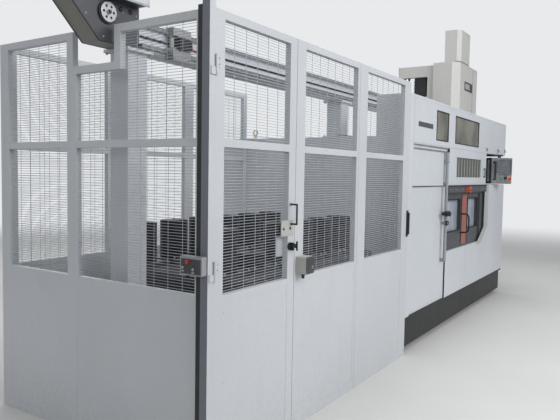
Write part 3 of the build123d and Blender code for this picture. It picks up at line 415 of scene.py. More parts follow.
    def nut(self, x, y, z, along, size=(0.011, 0.009)):
        self.use(zincSteel)
        radius, height = size
        for spot in spread(x, y, z):
            self.rod(spot, Vector(spot) + along * height, radius, 6)
            self.rod(spot, Vector(spot) + along * height * 1.6, radius * 0.5, 10)

    def done(self, name, body="machine", bevel=0.0, replaces=()):
        bmesh.ops.recalc_face_normals(self.mesh, faces=self.mesh.faces)
        data = bpy.data.meshes.new(name)
        self.mesh.to_mesh(data)
        self.mesh.free()
        for finish in self.finishes:
            data.materials.append(finish)
        for face in data.polygons:
            face.use_smooth = True
        data.set_sharp_from_angle(angle=math.radians(32))
        piece = bpy.data.objects.new(name, data)
        bpy.context.scene.collection.objects.link(piece)
        if bevel:
            soften(piece, bevel)
        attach(piece, body)
        if replaces:
            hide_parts(*replaces)
        return piece


def soften(piece, width):
    edge = piece.modifiers.new("softEdges", "BEVEL")
    edge.width, edge.segments = width, 2
    edge.limit_method, edge.angle_limit = "ANGLE", math.radians(40)
    edge.harden_normals = True


dressing = {
    castIron: ["bed_casting", "upper_saddle", "lower_saddle"],
    zincSteel: ["levelling_feet"],
    whitePaint: [
        "left_front_cover", "upper_left_cover", "upper_front_cover", "louvre_cover", "front_apron",
        "right_front_cover", "rear_covers", "roof_cover", "electrical_cabinet", "cabinet_door",
        "left_headstock", "right_headstock", "upper_cross_slide", "lower_cross_slide", "beam_supports",
        "gantry_beam",
    ],
    towerPaint: ["carriage_frame", "carriage_cover", "ram_cover"],
    darkPaint: ["door_lintel", "left_door", "right_door", "chip_conveyor", "pendant_arm"],
    stockerPaint: ["stocker_frame", "stocker_pallets"],
    hoodPane: ["upper_window_panes"],
    doorPane: ["left_door_pane", "right_door_pane"],
    slatPaint: ["louvre_slats"],
    housingPaint: ["drive_housing"],
    pipePaint: ["service_pipe"],
    bluePaint: ["corner_post"],
    greyPaint: ["switch_boxes"],
    brushedSteel: ["drive_pulley", "loader_gripper"],
    turnedSteel: ["left_chuck", "right_chuck"],
    groundSteel: ["beam_rails", "loader_ram"],
    toolSteel: ["upper_turret", "lower_turret"],
    blankSteel: ["workpiece_stacks"],
    blackPlastic: ["door_handle", "pendant_box", "feed_dial", "guard_handle", "lock_knob", "carriage_motor"],
    redPlastic: ["main_switch", "emergency_stop"],
    greenPlastic: ["start_button"],
}


def repaint(name, finish, chosen):
    # Gives the faces of a CAD node that a test picks, by middle and normal, a second finish
    data = nodes[name].data
    data.materials.append(finish)
    for face in data.polygons:
        if chosen(face.center, face.normal):
            face.material_index = len(data.materials) - 1


def dressNodes():
    for finish, names in dressing.items():
        for name in names:
            nodes[name].data.materials.clear()
            nodes[name].data.materials.append(finish)
    repaint("bed_casting", plinthPaint, lambda c, n: c.z < 0.3505)
    repaint("pendant_box", pendantGrey, lambda c, n: n.x * 0.643 + n.y * 0.766 < -0.95)
    repaint("upper_left_cover", zincSteel, lambda c, n: c.y < front - 0.0005 and c.x < left + 1.117)
    repaint("upper_left_cover", blackPlastic, lambda c, n: c.y < front - 0.0005 and c.x > left + 1.1169)
    repaint("corner_post", blackPlastic, lambda c, n: c.y > front + 0.0505)
    repaint("corner_post", guardPaint, lambda c, n: c.y < front + 0.0005)
    repaint("drive_housing", slantPaint, lambda c, n: n.x < -0.5 or n.z < -0.5)
    repaint("switch_boxes", beigePaint, lambda c, n: c.x > guardLeft + 0.5 and n.y > -0.9)
    repaint("switch_boxes", darkPlastic, lambda c, n: c.x > guardLeft + 0.5 and n.y < -0.9)
    repaint("carriage_motor", zincSteel, lambda c, n: c.z < 2.7705)
    for name in ("upper_turret", "lower_turret"):
        repaint(name, turnedSteel, lambda c, n: abs(n.x) > 0.9)
    repaint("left_headstock", groundSteel, lambda c, n: abs(n.x) > 0.99)
    repaint("right_headstock", groundSteel, lambda c, n: abs(n.x) > 0.99)


dressNodes()
print("dressed", len(nodes), "nodes")


guard = {
    "depth": 0.040, "top": 2.540, "meshTop": 2.495, "middle": (1.822, 1.867), "sheetTop": 1.015,
    "sheet": (0.0014, 0.0036), "sheetField": (0.080, 0.975), "lap": 0.002,
    "rowPitch": 0.0165, "columnPitch": 0.110, "wire": 0.0017, "softness": 0.003,
    "front": ((0.836, 1.755, (0.108, 0.036)), (1.758, 2.830, (0.140, 0.150))),
    "rear": {"length": 2.790, "from": 0.040, "back": 1.870, "stile": 0.060},
}


def meshWires(form, x, z):
    # Welded wires: rows in front, fewer uprights behind them
    form.use(wireMetal)
    middle, wire, lap = guard["depth"] / 2, guard["wire"], 0.006
    rows = round((z[1] - z[0]) / guard["rowPitch"])
    for i in range(1, rows):
        height = z[0] + (z[1] - z[0]) * i / rows
        form.rod((x[0] - lap, middle - wire, height), (x[1] + lap, middle - wire, height), wire, 6)
    columns = max(round((x[1] - x[0]) / guard["columnPitch"]), 1)
    for i in range(1, columns):
        across = x[0] + (x[1] - x[0]) * i / columns
        form.rod((across, middle + wire, z[0] - lap), (across, middle + wire, z[1] + lap), wire, 6)


def guardPanel(form, length, stiles, foot=0.0):
    # A tube frame with two mesh fields over a sheet let in below
    us = (0, stiles[0], length - stiles[1], length)
    ws = (foot, *guard["sheetField"], guard["sheetTop"], *guard["middle"], guard["meshTop"], guard["top"])
    form.use(guardPaint)
    form.grid(us, ws, lambda i, j: i != 1 or j not in (1, 3, 5), (0, guard["depth"]))
    inner, sheet, lap = us[1:3], guard["sheet"], guard["lap"]
    form.box(within(inner, -lap), sheet, (ws[1] - lap, ws[2] + lap))
    meshWires(form, inner, (guard["sheetTop"], guard["middle"][0]))
    meshWires(form, inner, (guard["middle"][1], guard["meshTop"]))
    heights = (ws[1] + 0.06, (ws[1] + ws[2]) / 2, ws[2] - 0.06)
    form.screw(within(inner, 0.012), sheet[0], heights, toFront, plateScrew)


def guardFront():
    form = Form(atGuard, guardPaint)
    for start, end, stiles in guard["front"]:
        form.place = atGuard @ Matrix.Translation((start, 0, 0))
        guardPanel(form, end - start, stiles)
    form.place = atGuard
    form.use(guardPaint).box((1.754, 1.759), (0.010, 0.030), (0.040, 2.500))
    form.nut(1.7565, guard["depth"], (0.35, 1.10, 1.85, 2.45), toBack)
    form.done("guard_front_panels", bevel=guard["softness"], replaces=["guard_front_wall"])


# The end wall with its notch for the beam: cuts from the corner post to the back, and from the floor up
endWall = {
    "from": 0.096,
    "us": (0, 0.020, 0.604, 0.659, 1.004, 1.034, 1.094, 1.720, 1.814),
    "ws": (0, 0.080, 0.975, 1.015, 1.822, 1.867, 2.280, 2.325, 2.495, 2.540),
    "near": (0.020, 1.004), "nearTop": (0.020, 0.604), "far": (1.094, 1.720),
}


def guardEnd():
    place = Matrix(((0, 1, 0, guardLeft), (1, 0, 0, front + endWall["from"]), (0, 0, 1, 0), (0, 0, 0, 1)))
    form = Form(place, guardPaint)

    def filled(i, j):
        if j >= 7 and i in (3, 4):
            return False
        if j in (1, 3, 5):
            return i not in (1, 2, 3, 6)
        return not (i in (1, 6) and j in (6, 7))

    form.grid(endWall["us"], endWall["ws"], filled, (0, guard["depth"]))
    near, nearTop, far = endWall["near"], endWall["nearTop"], endWall["far"]
    low, high = (guard["sheetTop"], guard["middle"][0]), (guard["middle"][1], guard["meshTop"])
    for x, z in ((near, low), (nearTop, high), ((nearTop[1], near[1]), (high[0], 2.280)), (far, low), (far, high)):
        meshWires(form, x, z)
    form.use(guardPaint)
    for x in (near, far):
        form.box(within(x, -0.002), guard["sheet"], (0.078, 0.977))
    form.done("guard_end_panels", bevel=guard["softness"], replaces=["guard_end_wall"])


def guardRear():
    form, rear = Form(atGuard, guardPaint), guard["rear"]
    third = rear["length"] / 3
    for start in steps(rear["from"], third, 3):
        form.place = atGuard @ Matrix.Translation((start, rear["back"], 0))
        guardPanel(form, third, (rear["stile"], rear["stile"]))
    form.done("guard_rear_panels", bevel=guard["softness"], replaces=["guard_rear_wall"])


door = {
    "from": 0.020, "width": 0.812, "stile": 0.078, "foot": 0.060,
    "hinges": (1.142, 2.234), "hingeLength": 0.068, "hingeRadius": 0.008, "leaf": (0.040, 0.004),
    "latchX": (0.668, 0.816), "latchZ": (1.290, 1.390), "keys": (0.695, 0.771),
    "plateX": (0.684, 0.800), "plateZ": (1.161, 1.286), "lockX": 0.8155, "lockZ": 1.222,
}


def guardDoor():
    form = Form(atGuard @ Matrix.Translation((door["from"], 0, 0)), guardPaint)
    guardPanel(form, door["width"], (door["stile"], door["stile"]), door["foot"])
    length, radius, (reach, leaf) = door["hingeLength"], door["hingeRadius"], door["leaf"]
    form.use(guardPaint)
    for z in door["hinges"]:
        form.box((0, reach), (-leaf, 0.001), (z, z + length))
    form.turned(0, -radius, door["hinges"], up, [
        (0, 0.0041), (0, 0.0072), (0.001, radius), (length - 0.001, radius), (length, 0.0072),
        (length + 0.0005, 0.004)], 32)
    heights = tuple(z + rise for z in door["hinges"] for rise in (0.018, length - 0.018))
    form.screw(0.026, -leaf, heights, toFront, (0.0055, 0.003))
    form.done("guard_door_panel", body="guard_leaf", bevel=0.0022, replaces=["guard_door"])


def guardDoorFittings():
    # Latch plate with two key switches and the handle's feet, and a second lock
    x, z = door["latchX"], door["latchZ"]
    form = Form(atGuard, beigePaint)
    form.box(x, (-0.005, 0), z)
    form.use(rubber).turned(door["keys"], -0.0045, 1.337, toFront, [
        (0, 0.009), (0.002, 0.009), (0.002, 0.006), (0.0006, 0.0058)])
    form.screw(within(x, 0.012), -0.005, within(z, 0.012), toFront, (0.0045, 0.003))
    form.turned(0.777, -0.0002, (1.365, 1.490), toFront, [(0, 0.013), (0.003, 0.013), (0.004, 0.010)])
    form.done("guard_latch_plate", body="guard_leaf", bevel=0.0012)

    x, z = door["lockX"], door["lockZ"]
    form = Form(atGuard, blackPlastic)
    form.turned(x, 0, z, toFront, [
        (0, 0.0155), (0.012, 0.0155), (0.014, 0.014), (0.026, 0.0135), (0.028, 0.011)], 28)
    form.box(about(x, 0.0045), (-0.036, -0.027), about(z, 0.030))
    form.screw(x, -0.036, z, toFront, (0.003, 0.0015))
    form.done("guard_spare_lock", body="guard_leaf", bevel=0.001)


def guardWallFittings():
    # The interlock's gland and lid screws, and a pull strip on the last stile
    form = Form(atGuard, blackPlastic)
    form.turned(0.874, -0.046, 1.0352, down, [
        (0, 0.013), (0.010, 0.013), (0.010, 0.010), (0.026, 0.010), (0.030, 0.007)])
    form.screw((0.862, 0.948), -0.080, (1.043, 1.140), toFront, smallScrew)
    form.done("interlock_gland", bevel=0.001)

    form = Form(atGuard, blackPlastic)
    form.box((2.792, 2.822), (-0.012, 0), (1.125, 1.365))
    form.box((2.800, 2.814), (-0.026, -0.011), (1.145, 1.345))
    form.screw(2.807, -0.012, (1.134, 1.356), toFront, plateScrew)
    form.done("guard_edge_pull", bevel=0.0025)


def lockBackplate():
    # A plate behind the lock, on the inside of the stile
    x, z = door["plateX"], door["plateZ"]
    form = Form(atGuard, guardPaint)
    form.box(x, (0.0402, 0.0442), z)
    form.screw((x[0] + 0.010, x[0] + 0.061), 0.0402, within(z, 0.011), toFront, plateScrew)
    form.done("guard_lock_backplate", body="guard_leaf", bevel=0.001)


requestBox = {
    "face": -0.070, "y": (0.006, 0.158), "z": (1.137, 1.239),
    "push": 0.104, "labels": ((0.128, 0.026), (0.056, 0.020)),
}
lampLabel = [(0, 0.008), (0.004, 0.008), (0.006, 0.006)]


def requestDetails():
    # The face of the corner box looks left: a red push, two lamp labels, lid screws and a gland below
    form = Form(atGuard, darkPlastic)
    face, y, z = requestBox["face"], requestBox["y"], requestBox["z"]
    form.box((face - 0.0015, face + 0.001), within(y, 0.008), (z[0] + 0.008, z[1] - 0.014))
    form.use(redPlastic).turned(face - 0.001, requestBox["push"], z[0] + 0.072, toLeft, [
        (0, 0.010), (0.004, 0.010), (0.006, 0.011), (0.010, 0.011), (0.012, 0.009)], 32)
    form.use(greyPlastic)
    for across, height in requestBox["labels"]:
        form.box((face - 0.0028, face - 0.001), (across, across + 0.020), (z[0] + height - 0.008, z[0] + height))
        form.turned(face - 0.001, across + 0.010, z[0] + height + 0.014, toLeft, lampLabel)
    form.screw(face, within(y, 0.005), (z[0] + 0.004, z[1] - 0.006), toLeft, smallScrew)
    form.use(blackPlastic).turned(-0.050, 0.120, z[0], down, [
        (0, 0.011), (0.008, 0.011), (0.008, 0.009), (0.018, 0.009), (0.020, 0.006)])
    form.done("request_box_face", bevel=0.0012)


guardFront()
guardEnd()
guardRear()
guardDoor()
guardDoorFittings()
guardWallFittings()
lockBackplate()
requestDetails()
print("guard panels done")


covers = {
    "windows": ((0.740, 1.135), (1.383, 2.358)), "windowHeight": (2.057, 2.362), "gasket": 0.009,
    "louvreX": (1.470, 2.500), "louvreZ": (1.680, 1.905), "slats": 9, "slatDepth": 0.0316, "lean": -24,
    "clips": ((2.748, 2.018), (3.362, 2.026), (3.770, 2.034)),
}


def coverTrim():
    # Painted shadow line and stop under the upper left cover, window rubbers, louvre frame and pull
    form = Form(atLathe, rubber)
    # This dark rubber strip under the upper left cover is a painted shadow line
    form.box((0.103, 1.146), (0.001, 0.0145), (1.5815, 1.5888))
    form.turned(1.128, -0.0005, 1.597, toFront, [(0, 0.011), (0.006, 0.011), (0.009, 0.007)], 16)
    gasket = covers["gasket"]
    for x in covers["windows"]:
        form.ring(within(x, gasket), within(covers["windowHeight"], gasket), gasket * 1.2, (-0.0035, 0.0028))
    form.done("window_rubbers_and_painted_shadow_line", bevel=0.0012)

    form = Form(atLathe, whitePaint)
    x, z = covers["louvreX"], covers["louvreZ"]
    form.ring(x, z, 0.016, (-0.0022, -0.0001))
    form.use(darkPlastic).box((2.636, 2.654), (-0.024, -0.016), (1.682, 1.800))
    for height in (1.690, 1.792):
        form.box((2.638, 2.652), (-0.017, 0), about(height, 0.007))
    across = (x[0] - 0.008, sum(x) / 2, x[1] + 0.008)
    form.screw(across, -0.0022, within(z, -0.008), toFront, (0.0035, 0.0018))
    form.done("louvre_frame", bevel=0.0012)


def louvrePaintedShadowsAndLips():
    # Each slat gets a painted shadow strip on its left, in the gap, and on its right a lip painted pale as a
    # highlight
    form = Form(atLathe, rubber)
    x, z = covers["louvreX"], within(covers["louvreZ"], 0.002)
    pitch, lean = (x[1] - x[0]) / covers["slats"], Matrix.Rotation(math.radians(covers["lean"]), 4, "Z")
    for middle in steps(x[0] + pitch / 2, pitch, covers["slats"]):
        form.place = atLathe @ Matrix.Translation((middle, covers["slatDepth"], 0)) @ lean
        # Dark rubber strip: painted shadow in the gap beside each slat
        form.use(rubber).box((-0.056, -0.034), (-0.0036, -0.0024), z)
        # Pale strip: a folded lip whose light colour is a painted highlight
        form.use(bezelPaint).box((0.0505, 0.0570), (-0.0046, -0.0024), z)
    form.done("louvre_painted_shadows_and_lips", bevel=0.0008)


def hoodFittings():
    # The bare name strip and the hood's clips
    form = Form(atLathe, darkPaint)
    form.box((0.212, 0.628), (-0.0025, -0.0001), (2.160, 2.208))
    for x, z in covers["clips"]:
        form.use(greyPlastic).box(about(x, 0.014), (-0.004, -0.0001), (z, z + 0.062))
        form.use(toolSteel).rod((x, -0.004, z + 0.048), (x, -0.018, z + 0.034), 0.0045, 12)
        form.rod((x, -0.018, z + 0.036), (x, -0.018, z + 0.010), 0.0045, 12)
    form.done("hood_fittings", bevel=0.001)


# Cover strips as spans across and up, each with how far it stands out
strips = (
    ((0.098, 0.112), (2.003, 2.447), 0.0016), ((1.157, 1.171), (1.592, 1.997), 0.0016),
    ((0.104, 3.816), (2.424, 2.446), 0.0018), ((1.164, 2.750), (0.353, 0.372), 0.0020),
    ((2.752, 3.816), (0.353, 0.372), 0.0020), ((1.950, 1.9585), (0.374, 0.840), 0.0014),
)
seamScrews = (
    ((0.020, 0.080), 0, (0.42, 0.95, 1.48, 2.01, 2.40)), (steps(0.30, 0.42, 9), -0.0018, 2.435),
    (steps(1.25, 0.46, 4), -0.0020, 0.3625), (steps(2.84, 0.30, 4), -0.0020, 0.3625),
    (steps(0.20, 0.29, 4), 0.0130, 0.3625), (3.790, 0, steps(0.50, 0.30, 4)), (0.122, 0.0150, steps(0.50, 0.30, 4)),
)


def coverSeams():
    form = Form(atLathe, whitePaint)
    for x, z, proud in strips:
        form.box(x, (-proud, -0.0001), z)
    form.box((0.110, 1.150), (0.0130, 0.0149), (0.353, 0.372))
    form.done("cover_strips", bevel=0.0007)

    form = Form(atLathe, zincSteel)
    for x, y, z in seamScrews:
        form.screw(x, y, z, toFront, coverScrew)
    form.done("cover_screws")


lintel = {
    "x": (1.170, 2.748), "face": -0.0199, "switch": (1.822, 1.888),
    "screws": (1.20, 1.45, 1.70, 2.02, 2.30, 2.56, 2.70),
}
bezel = [(2.7565, 1.586), (2.940, 1.586), (2.940, 1.030), (2.600, 0.826), (2.440, 0.826), (2.440, 0.8585),
         (2.4545, 0.8585), (2.7565, 1.0345)]


def doorSurround():
    # Pale bezel round the door's right side, the lintel's parts with a painted shadow strip along its top, and its
    # red switch housing
    form = Form(atLathe, bezelPaint)
    form.prism(bezel, (-0.0030, -0.0001), lambda u, w, d: (u, d, w))
    form.done("door_bezel", bevel=0.0012)

    form = Form(atLathe, rubber)
    x, face = lintel["x"], lintel["face"]
    # Dark rubber strip along the lintel's top: painted shadow under the cover above
    form.box(x, (-0.0225, face), (1.574, 1.586))
    form.box(x, (-0.0215, face), (1.5005, 1.505))
    form.screw(lintel["screws"], -0.0200, 1.539, toFront)
    form.use(redHousing).box(lintel["switch"], (-0.0640, face), (1.503, 1.572))
    form.use(blackPlastic).box((1.838, 1.872), (-0.0665, -0.0630), (1.520, 1.536))
    form.turned(1.855, -0.042, 1.503, down, [(0, 0.008), (0.014, 0.008), (0.018, 0.005)], 16)
    form.done("door_switch_and_painted_lintel_shadow", bevel=0.003)


doorTrim = {
    "face": 0.025, "z": (0.885, 1.472), "screwZ": (0.905, 1.452),
    "paneZ": (1.065, 1.425), "leftPane": (1.235, 1.745), "rightPane": (2.058, 2.487),
    "handleX": 1.775, "handleZ": (1.030, 1.250), "reach": -0.075,
}


def paneLip(form, x):
    # The rubber lip round a door window
    z, face = doorTrim["paneZ"], doorTrim["face"]
    depth = (face - 0.0032, face + 0.0004)
    form.use(rubber).ring(within(x, 0.006), within(z, 0.006), 0.014, depth)


def doorDetails():
    face, z, handle, heights = (doorTrim[key] for key in ("face", "z", "handleX", "handleZ"))
    form = Form(atLathe, rubber)
    paneLip(form, doorTrim["leftPane"])
    form.box((1.789, 1.7990), (face - 0.0030, face + 0.001), z)
    form.use(darkPlastic).turned(handle, face + 0.0002, heights, toFront, [
        (0, 0.017), (0.004, 0.017), (0.007, 0.012)], 24)
    form.screw((1.205, 1.765), face, doorTrim["screwZ"], toFront, coverScrew)
    form.done("left_door_trim", body="left_leaf", bevel=0.001)

    form = Form(atLathe, blackPlastic)
    (low, high), root, out = heights, 0.0255, doorTrim["reach"]
    corners = [(handle, root, low), (handle, out, low), (handle, out, high), (handle, root, high)]
    form.sweep(corners, 0.0095, 0.055, 20)
    form.done("door_bow_handle", body="left_leaf", replaces=["door_handle"])

    form = Form(atLathe, rubber)
    paneLip(form, doorTrim["rightPane"])
    form.box((1.8008, 1.8150), (face - 0.0030, face + 0.001), z)
    form.box((2.016, 2.046), (face - 0.0026, face + 0.001), z)
    form.box((2.518, 2.604), (face - 0.0026, face + 0.001), (0.885, 1.480))
    form.use(redPaint).box((1.819, 2.012), (face - 0.0022, face + 0.001), z)
    form.use(darkPaint).box((2.612, 2.716), (face - 0.0018, face + 0.001), (0.895, 1.468))
    form.screw((1.830, 2.000, 2.664), face - 0.0022, doorTrim["screwZ"], toFront, coverScrew)
    form.done("right_door_trim", body="right_leaf", bevel=0.001)


clamp = {"x": 1.022, "y": -0.034, "wing": [(0, 0.013), (0.004, 0.020), (0.022, 0.020), (0.026, 0.014)]}


def pipeFittings():
    # The clamp's star knob, its jaws and its lower block
    form = Form(atLathe, blackPlastic)
    x, y = clamp["x"], clamp["y"]
    form.box(about(x, 0.046), (y - 0.030, y - 0.008), (1.262, 1.318))
    form.turned(x - 0.034, y - 0.028, 1.288, toFront, [
        (0, 0.010), (0.016, 0.010), (0.018, 0.024), (0.034, 0.026), (0.038, 0.020)], 10)
    form.turned(x + 0.060, y, 1.290, toRight, clamp["wing"], 8)
    form.turned(x - 0.060, y, 1.290, toLeft, clamp["wing"], 8)
    form.box(about(x, 0.030), (y - 0.026, y - 0.010), (1.165, 1.212))
    form.nut(about(x, 0.022), y - 0.026, 1.188, toFront, (0.008, 0.006))
    form.screw(about(x, 0.036), y - 0.030, 1.306, toFront, (0.004, 0.003))
    form.done("pipe_clamp", bevel=0.0015)


coverTrim()
louvrePaintedShadowsAndLips()
hoodFittings()
coverSeams()
doorSurround()
doorDetails()
pipeFittings()
print("lathe front done")


pendant = {
    "at": (3.260, -0.050), "turn": -40, "half": 0.170, "depth": 0.060, "z": (1.600, 1.955),
    "screenX": (-0.045, 0.152), "screenZ": (0.140, 0.330), "stop": (0.125, 0.070), "gripX": -0.126,
}
spot = Vector((left + pendant["at"][0], front + pendant["at"][1], pendant["z"][0]))
atPendant = Matrix.Translation(spot) @ Matrix.Rotation(math.radians(pendant["turn"]), 4, "Z")


def pendantDetails():
    # Bezel, dim screen in its recess, soft keys, key field, the stop's ring and lid screws
    form = Form(atPendant, pendantGrey)
    half, face, x, z = pendant["half"], -pendant["depth"], pendant["screenX"], pendant["screenZ"]
    height = pendant["z"][1] - pendant["z"][0]
    us = (-half + 0.072, x[0] - 0.004, x[1] + 0.004, half - 0.004)
    ws = (0.116, z[0] - 0.002, z[1] + 0.004, height - 0.006)
    form.grid(us, ws, lambda i, j: (i, j) != (1, 1), (face - 0.0030, face + 0.0002))
    recess = (face + 0.001, face + 0.0079)
    form.use(darkPlastic).ring(within(x, 0.006), within(z, 0.006), 0.0055, recess)
    form.use(pendantScreen).box(within(x, 0.001), (face + 0.0050, recess[1]), within(z, 0.001))
    key = (face - 0.0052, face - 0.0028)
    form.use(darkPlastic).row(8, (0.0232, 0, 0), (x[0] + 0.008, x[0] + 0.025), key, (0.122, 0.132))
    form.row(5, (0, 0, 0.036), (-half + 0.082, -half + 0.112), key, (0.150, 0.172))
    form.use(greyPlastic)
    field = (face - 0.0022, face + 0.0002)
    for low in steps(0.020, 0.020, 3):
        form.row(3, (0.022, 0, 0), (-half + 0.020, -half + 0.036), field, (low, low + 0.014))
    form.use(yellowRing).turned(pendant["stop"][0], face + 0.0001, pendant["stop"][1], toFront, [
        (0, 0.029), (0.0016, 0.029), (0.0020, 0.028)], 32)
    form.screw((-half + 0.010, half - 0.012), face, (0.010, height - 0.010), toFront, (0.0035, 0.002))
    form.done("pendant_panel", body="pendant", bevel=0.0009)

    form = Form(atPendant, blackPlastic)
    grip = pendant["gripX"]
    form.turned(grip, face + 0.001, (0.062, 0.293), toFront, [
        (0, 0.013), (0.004, 0.013), (0.008, 0.009), (0.040, 0.009)])
    form.turned(grip, face - 0.040, 0.050, up, [
        (0, 0.006), (0.004, 0.0095), (0.120, 0.0110), (0.251, 0.0095), (0.255, 0.006)])
    form.use(greyPlastic).box((-half - 0.0012, -half + 0.001), (-0.020, 0.018), (0.030, height - 0.030))
    form.use(rubber).row(6, (0, 0, 0.030), (-half - 0.0026, -half - 0.001), (-0.014, 0.012), (0.080, 0.088))
    form.done("pendant_grip", body="pendant", bevel=0.001)


pendantDetails()
print("pendant done")


beam = {
    "front": 0.800, "posts": (0.150, 2.980, 6.390), "postSides": (-0.015, 0.175), "postDepth": (0.785, 0.975),
    "rails": (2.468, 2.596), "belt": (0.244, 6.530), "clips": (6.505, 6.538),
}


def beamDetails():
    # Toothed belt, rail screws, tray lips, end cap, flange nuts and the first post's ribs
    form = Form(atGuard, rubber)
    face = beam["front"]
    form.box(beam["belt"], (face - 0.010, face - 0.0006), (2.519, 2.531))
    form.use(toolSteel).turned(steps(0.300, 0.120, 52), face - 0.0275, beam["rails"], toFront, [
        (0, 0.0055), (0.0006, 0.0055)], 12)
    form.use(darkPaint)
    for x in beam["clips"]:
        form.box((x, x + 0.010), (face - 0.024, face - 0.0004), (2.505, 2.545))
    form.done("beam_belt", bevel=0.0008)

    form = Form(atGuard, whitePaint)
    form.box((6.5502, 6.556), (0.806, 0.954), (2.446, 2.604))
    form.row(12, (0.540, 0, 0), (0.420, 0.450), (0.9635, 1.0665), (2.6015, 2.606))
    form.screw(6.556, (0.830, 0.930), (2.470, 2.580), toRight)
    form.done("beam_fittings", bevel=0.001)

    form = Form(atGuard, zincSteel)
    for x, low in zip(beam["posts"], (0.020, 2.080, 2.080)):
        across = tuple(x + side for side in beam["postSides"])
        form.nut(across, beam["postDepth"], low, up, (0.010, 0.009))
        form.nut(across, beam["postDepth"], 2.420, down, (0.009, 0.008))
    form.use(whitePaint)
    for x in (0.206, 0.246):
        for edge, way in ((0.800, -1), (0.960, 1)):
            foot = edge + way * 0.025
            rib = [(edge, 0.020), (foot, 0.020), (foot, 0.030), (edge + way * 0.0005, 0.120)]
            form.prism(rib, (x, x + 0.008), lambda u, w, d: (d, u, w))
    form.done("beam_bolts", bevel=0.001)


stop = {"x": (0.470, 0.640), "clamps": ((2.412, 2.4555, 2.4805, 2.4945), (2.570, 2.5835, 2.6085, 2.6225))}


def beamStop():
    # The clamped stop at the end of the carriage's travel: two rail clamps, a plate and a dark switch box
    form = Form(atGuard, towerPaint)
    form.box((0.480, 0.630), (0.754, 0.7710), (2.414, 2.622))
    form.use(brushedSteel)
    for low, railLow, railHigh, high in stop["clamps"]:
        form.box(stop["x"], (0.726, 0.7712), (low, high))
        for z in ((low, railLow), (railHigh, high)):
            form.box(stop["x"], (0.7710, 0.7992), z)
    form.screw((0.490, 0.620), 0.726, (2.430, 2.596), toFront)
    form.use(blackPlastic).box((0.505, 0.626), (0.702, 0.7545), (2.488, 2.560))
    form.turned(0.624, 0.728, 2.545, toRight, [(0, 0.012), (0.016, 0.012), (0.020, 0.008)])
    form.turned(0.530, 0.728, 2.488, down, [(0, 0.008), (0.012, 0.008), (0.014, 0.005)], 16)
    form.use(redHousing).box((0.6262, 0.636), (0.706, 0.750), (2.494, 2.526))
    form.done("beam_stop", bevel=0.0018)


drive = {
    "pulley": (-0.014, 2.613), "face": 0.7992, "edges": (0.8005, 0.9495),
    "screws": ((-0.390, 2.800), (-0.300, 2.712), (-0.165, 2.575), (-0.040, 2.468), (0.100, 2.468), (0.215, 2.468),
               (0.215, 2.640), (0.110, 2.640)),
}


def driveDetails():
    # Edge strips of the sheet housing, pulley rim, cover box with a painted shadow sheet under it, and vents
    form = Form(atGuard, blackPlastic)
    (x, z), face = drive["pulley"], drive["face"]
    for y in drive["edges"]:
        form.rod((-0.072, y, 2.4415), (-0.4735, y, 2.842), 0.0038, 8)
        form.rod((-0.070, y, 2.4405), (0.236, y, 2.4405), 0.0030, 8)
    form.tube((x, face, z), toFront, 0.0625, 0.0675, 0.012, 48)
    form.turned((0.090, 0.168), 0.7995, 2.655, toFront, [(0, 0.014), (0.006, 0.014), (0.010, 0.009)])
    form.use(housingPaint).box((-0.250, -0.110), (0.7975, 0.7995), (2.760, 2.860))
    form.row(5, (0, 0, 0.016), (-0.235, -0.125), (0.7955, 0.7985), (2.775, 2.782))
    for across, height in drive["screws"]:
        form.screw(across, 0.800, height, toFront)
    form.done("drive_housing_trim", bevel=0.0008)

    form = Form(atGuard, whitePaint)
    form.box((-0.020, 0.236), (0.700, face), (2.694, 2.885))
    form.box((-0.026, 0.242), (0.706, 0.716), (2.688, 2.891))
    # Dark sheet under the cover box: painted shadow on its underside
    form.use(darkPlastic).box((0.000, 0.216), (0.712, 0.792), (2.6905, 2.6945))
    form.screw((-0.006, 0.222), 0.700, (2.708, 2.871), toFront, lidScrew)
    form.use(blackPlastic).turned(0.236, 0.750, 2.800, toRight, [
        (0, 0.016), (0.010, 0.016), (0.012, 0.012), (0.026, 0.010)])
    form.done("drive_cover_box_and_painted_underside_shadow", bevel=0.002)

    form = Form(atGuard, toolSteel)
    form.turned(x, 0.7735, z, toFront, [(0, 0.013), (0.002, 0.013), (0.002, 0.009), (0.009, 0.008)])
    form.done("pulley_bolt", body="pulley", bevel=0.0008)


tower = {
    "x": (2.585, 3.566), "front": 0.350, "z": (2.300, 3.201), "inset": 0.100, "screw": (0.0045, 0.0024),
    "seam": (3.255, 3.259), "plateX": (2.872, 3.235), "plateZ": (2.858, 2.975),
    "gland": [(0, 0.018), (0.010, 0.018), (0.012, 0.014), (0.034, 0.012), (0.036, 0.009)],
}


def carriageDetails():
    # Lower and upper fold, panel seam, screws and a bare plate on the front
    form = Form(atLathe, towerPaint)
    x, face, z, screw = (tower[key] for key in ("x", "front", "z", "screw"))
    inner = (x[0] + tower["inset"], x[1] - tower["inset"])
    for height in ((z[0] + 0.004, z[0] + 0.022), (z[1] - 0.024, z[1] - 0.006)):
        form.box(inner, (face - 0.0016, face - 0.0001), height)
    form.use(rubber).box(tower["seam"], (face - 0.0012, face + 0.0002), (z[0] + 0.024, z[1] - 0.026))
    form.use(zincSteel)
    across = (inner[0] + 0.012, tower["seam"][0] - 0.020, tower["seam"][1] + 0.020, inner[1] - 0.012)
    form.screw(across, face, (2.345, 2.620, 2.890, 3.150), toFront, screw)
    for side, way in zip(x, (toLeft, toRight)):
        form.screw(side, (0.470, 0.660), (2.345, 2.750, 3.150), way, screw)
    x, z = tower["plateX"], tower["plateZ"]
    form.use(darkPlastic).box(x, (face - 0.0040, face - 0.0001), z)
    form.use(greyPlastic)
    form.box((x[0] + 0.020, x[1] - 0.130), (face - 0.0048, face - 0.0036), (z[0] + 0.020, z[1] - 0.022))
    form.done("tower_trim", body="carriage", bevel=0.0008)


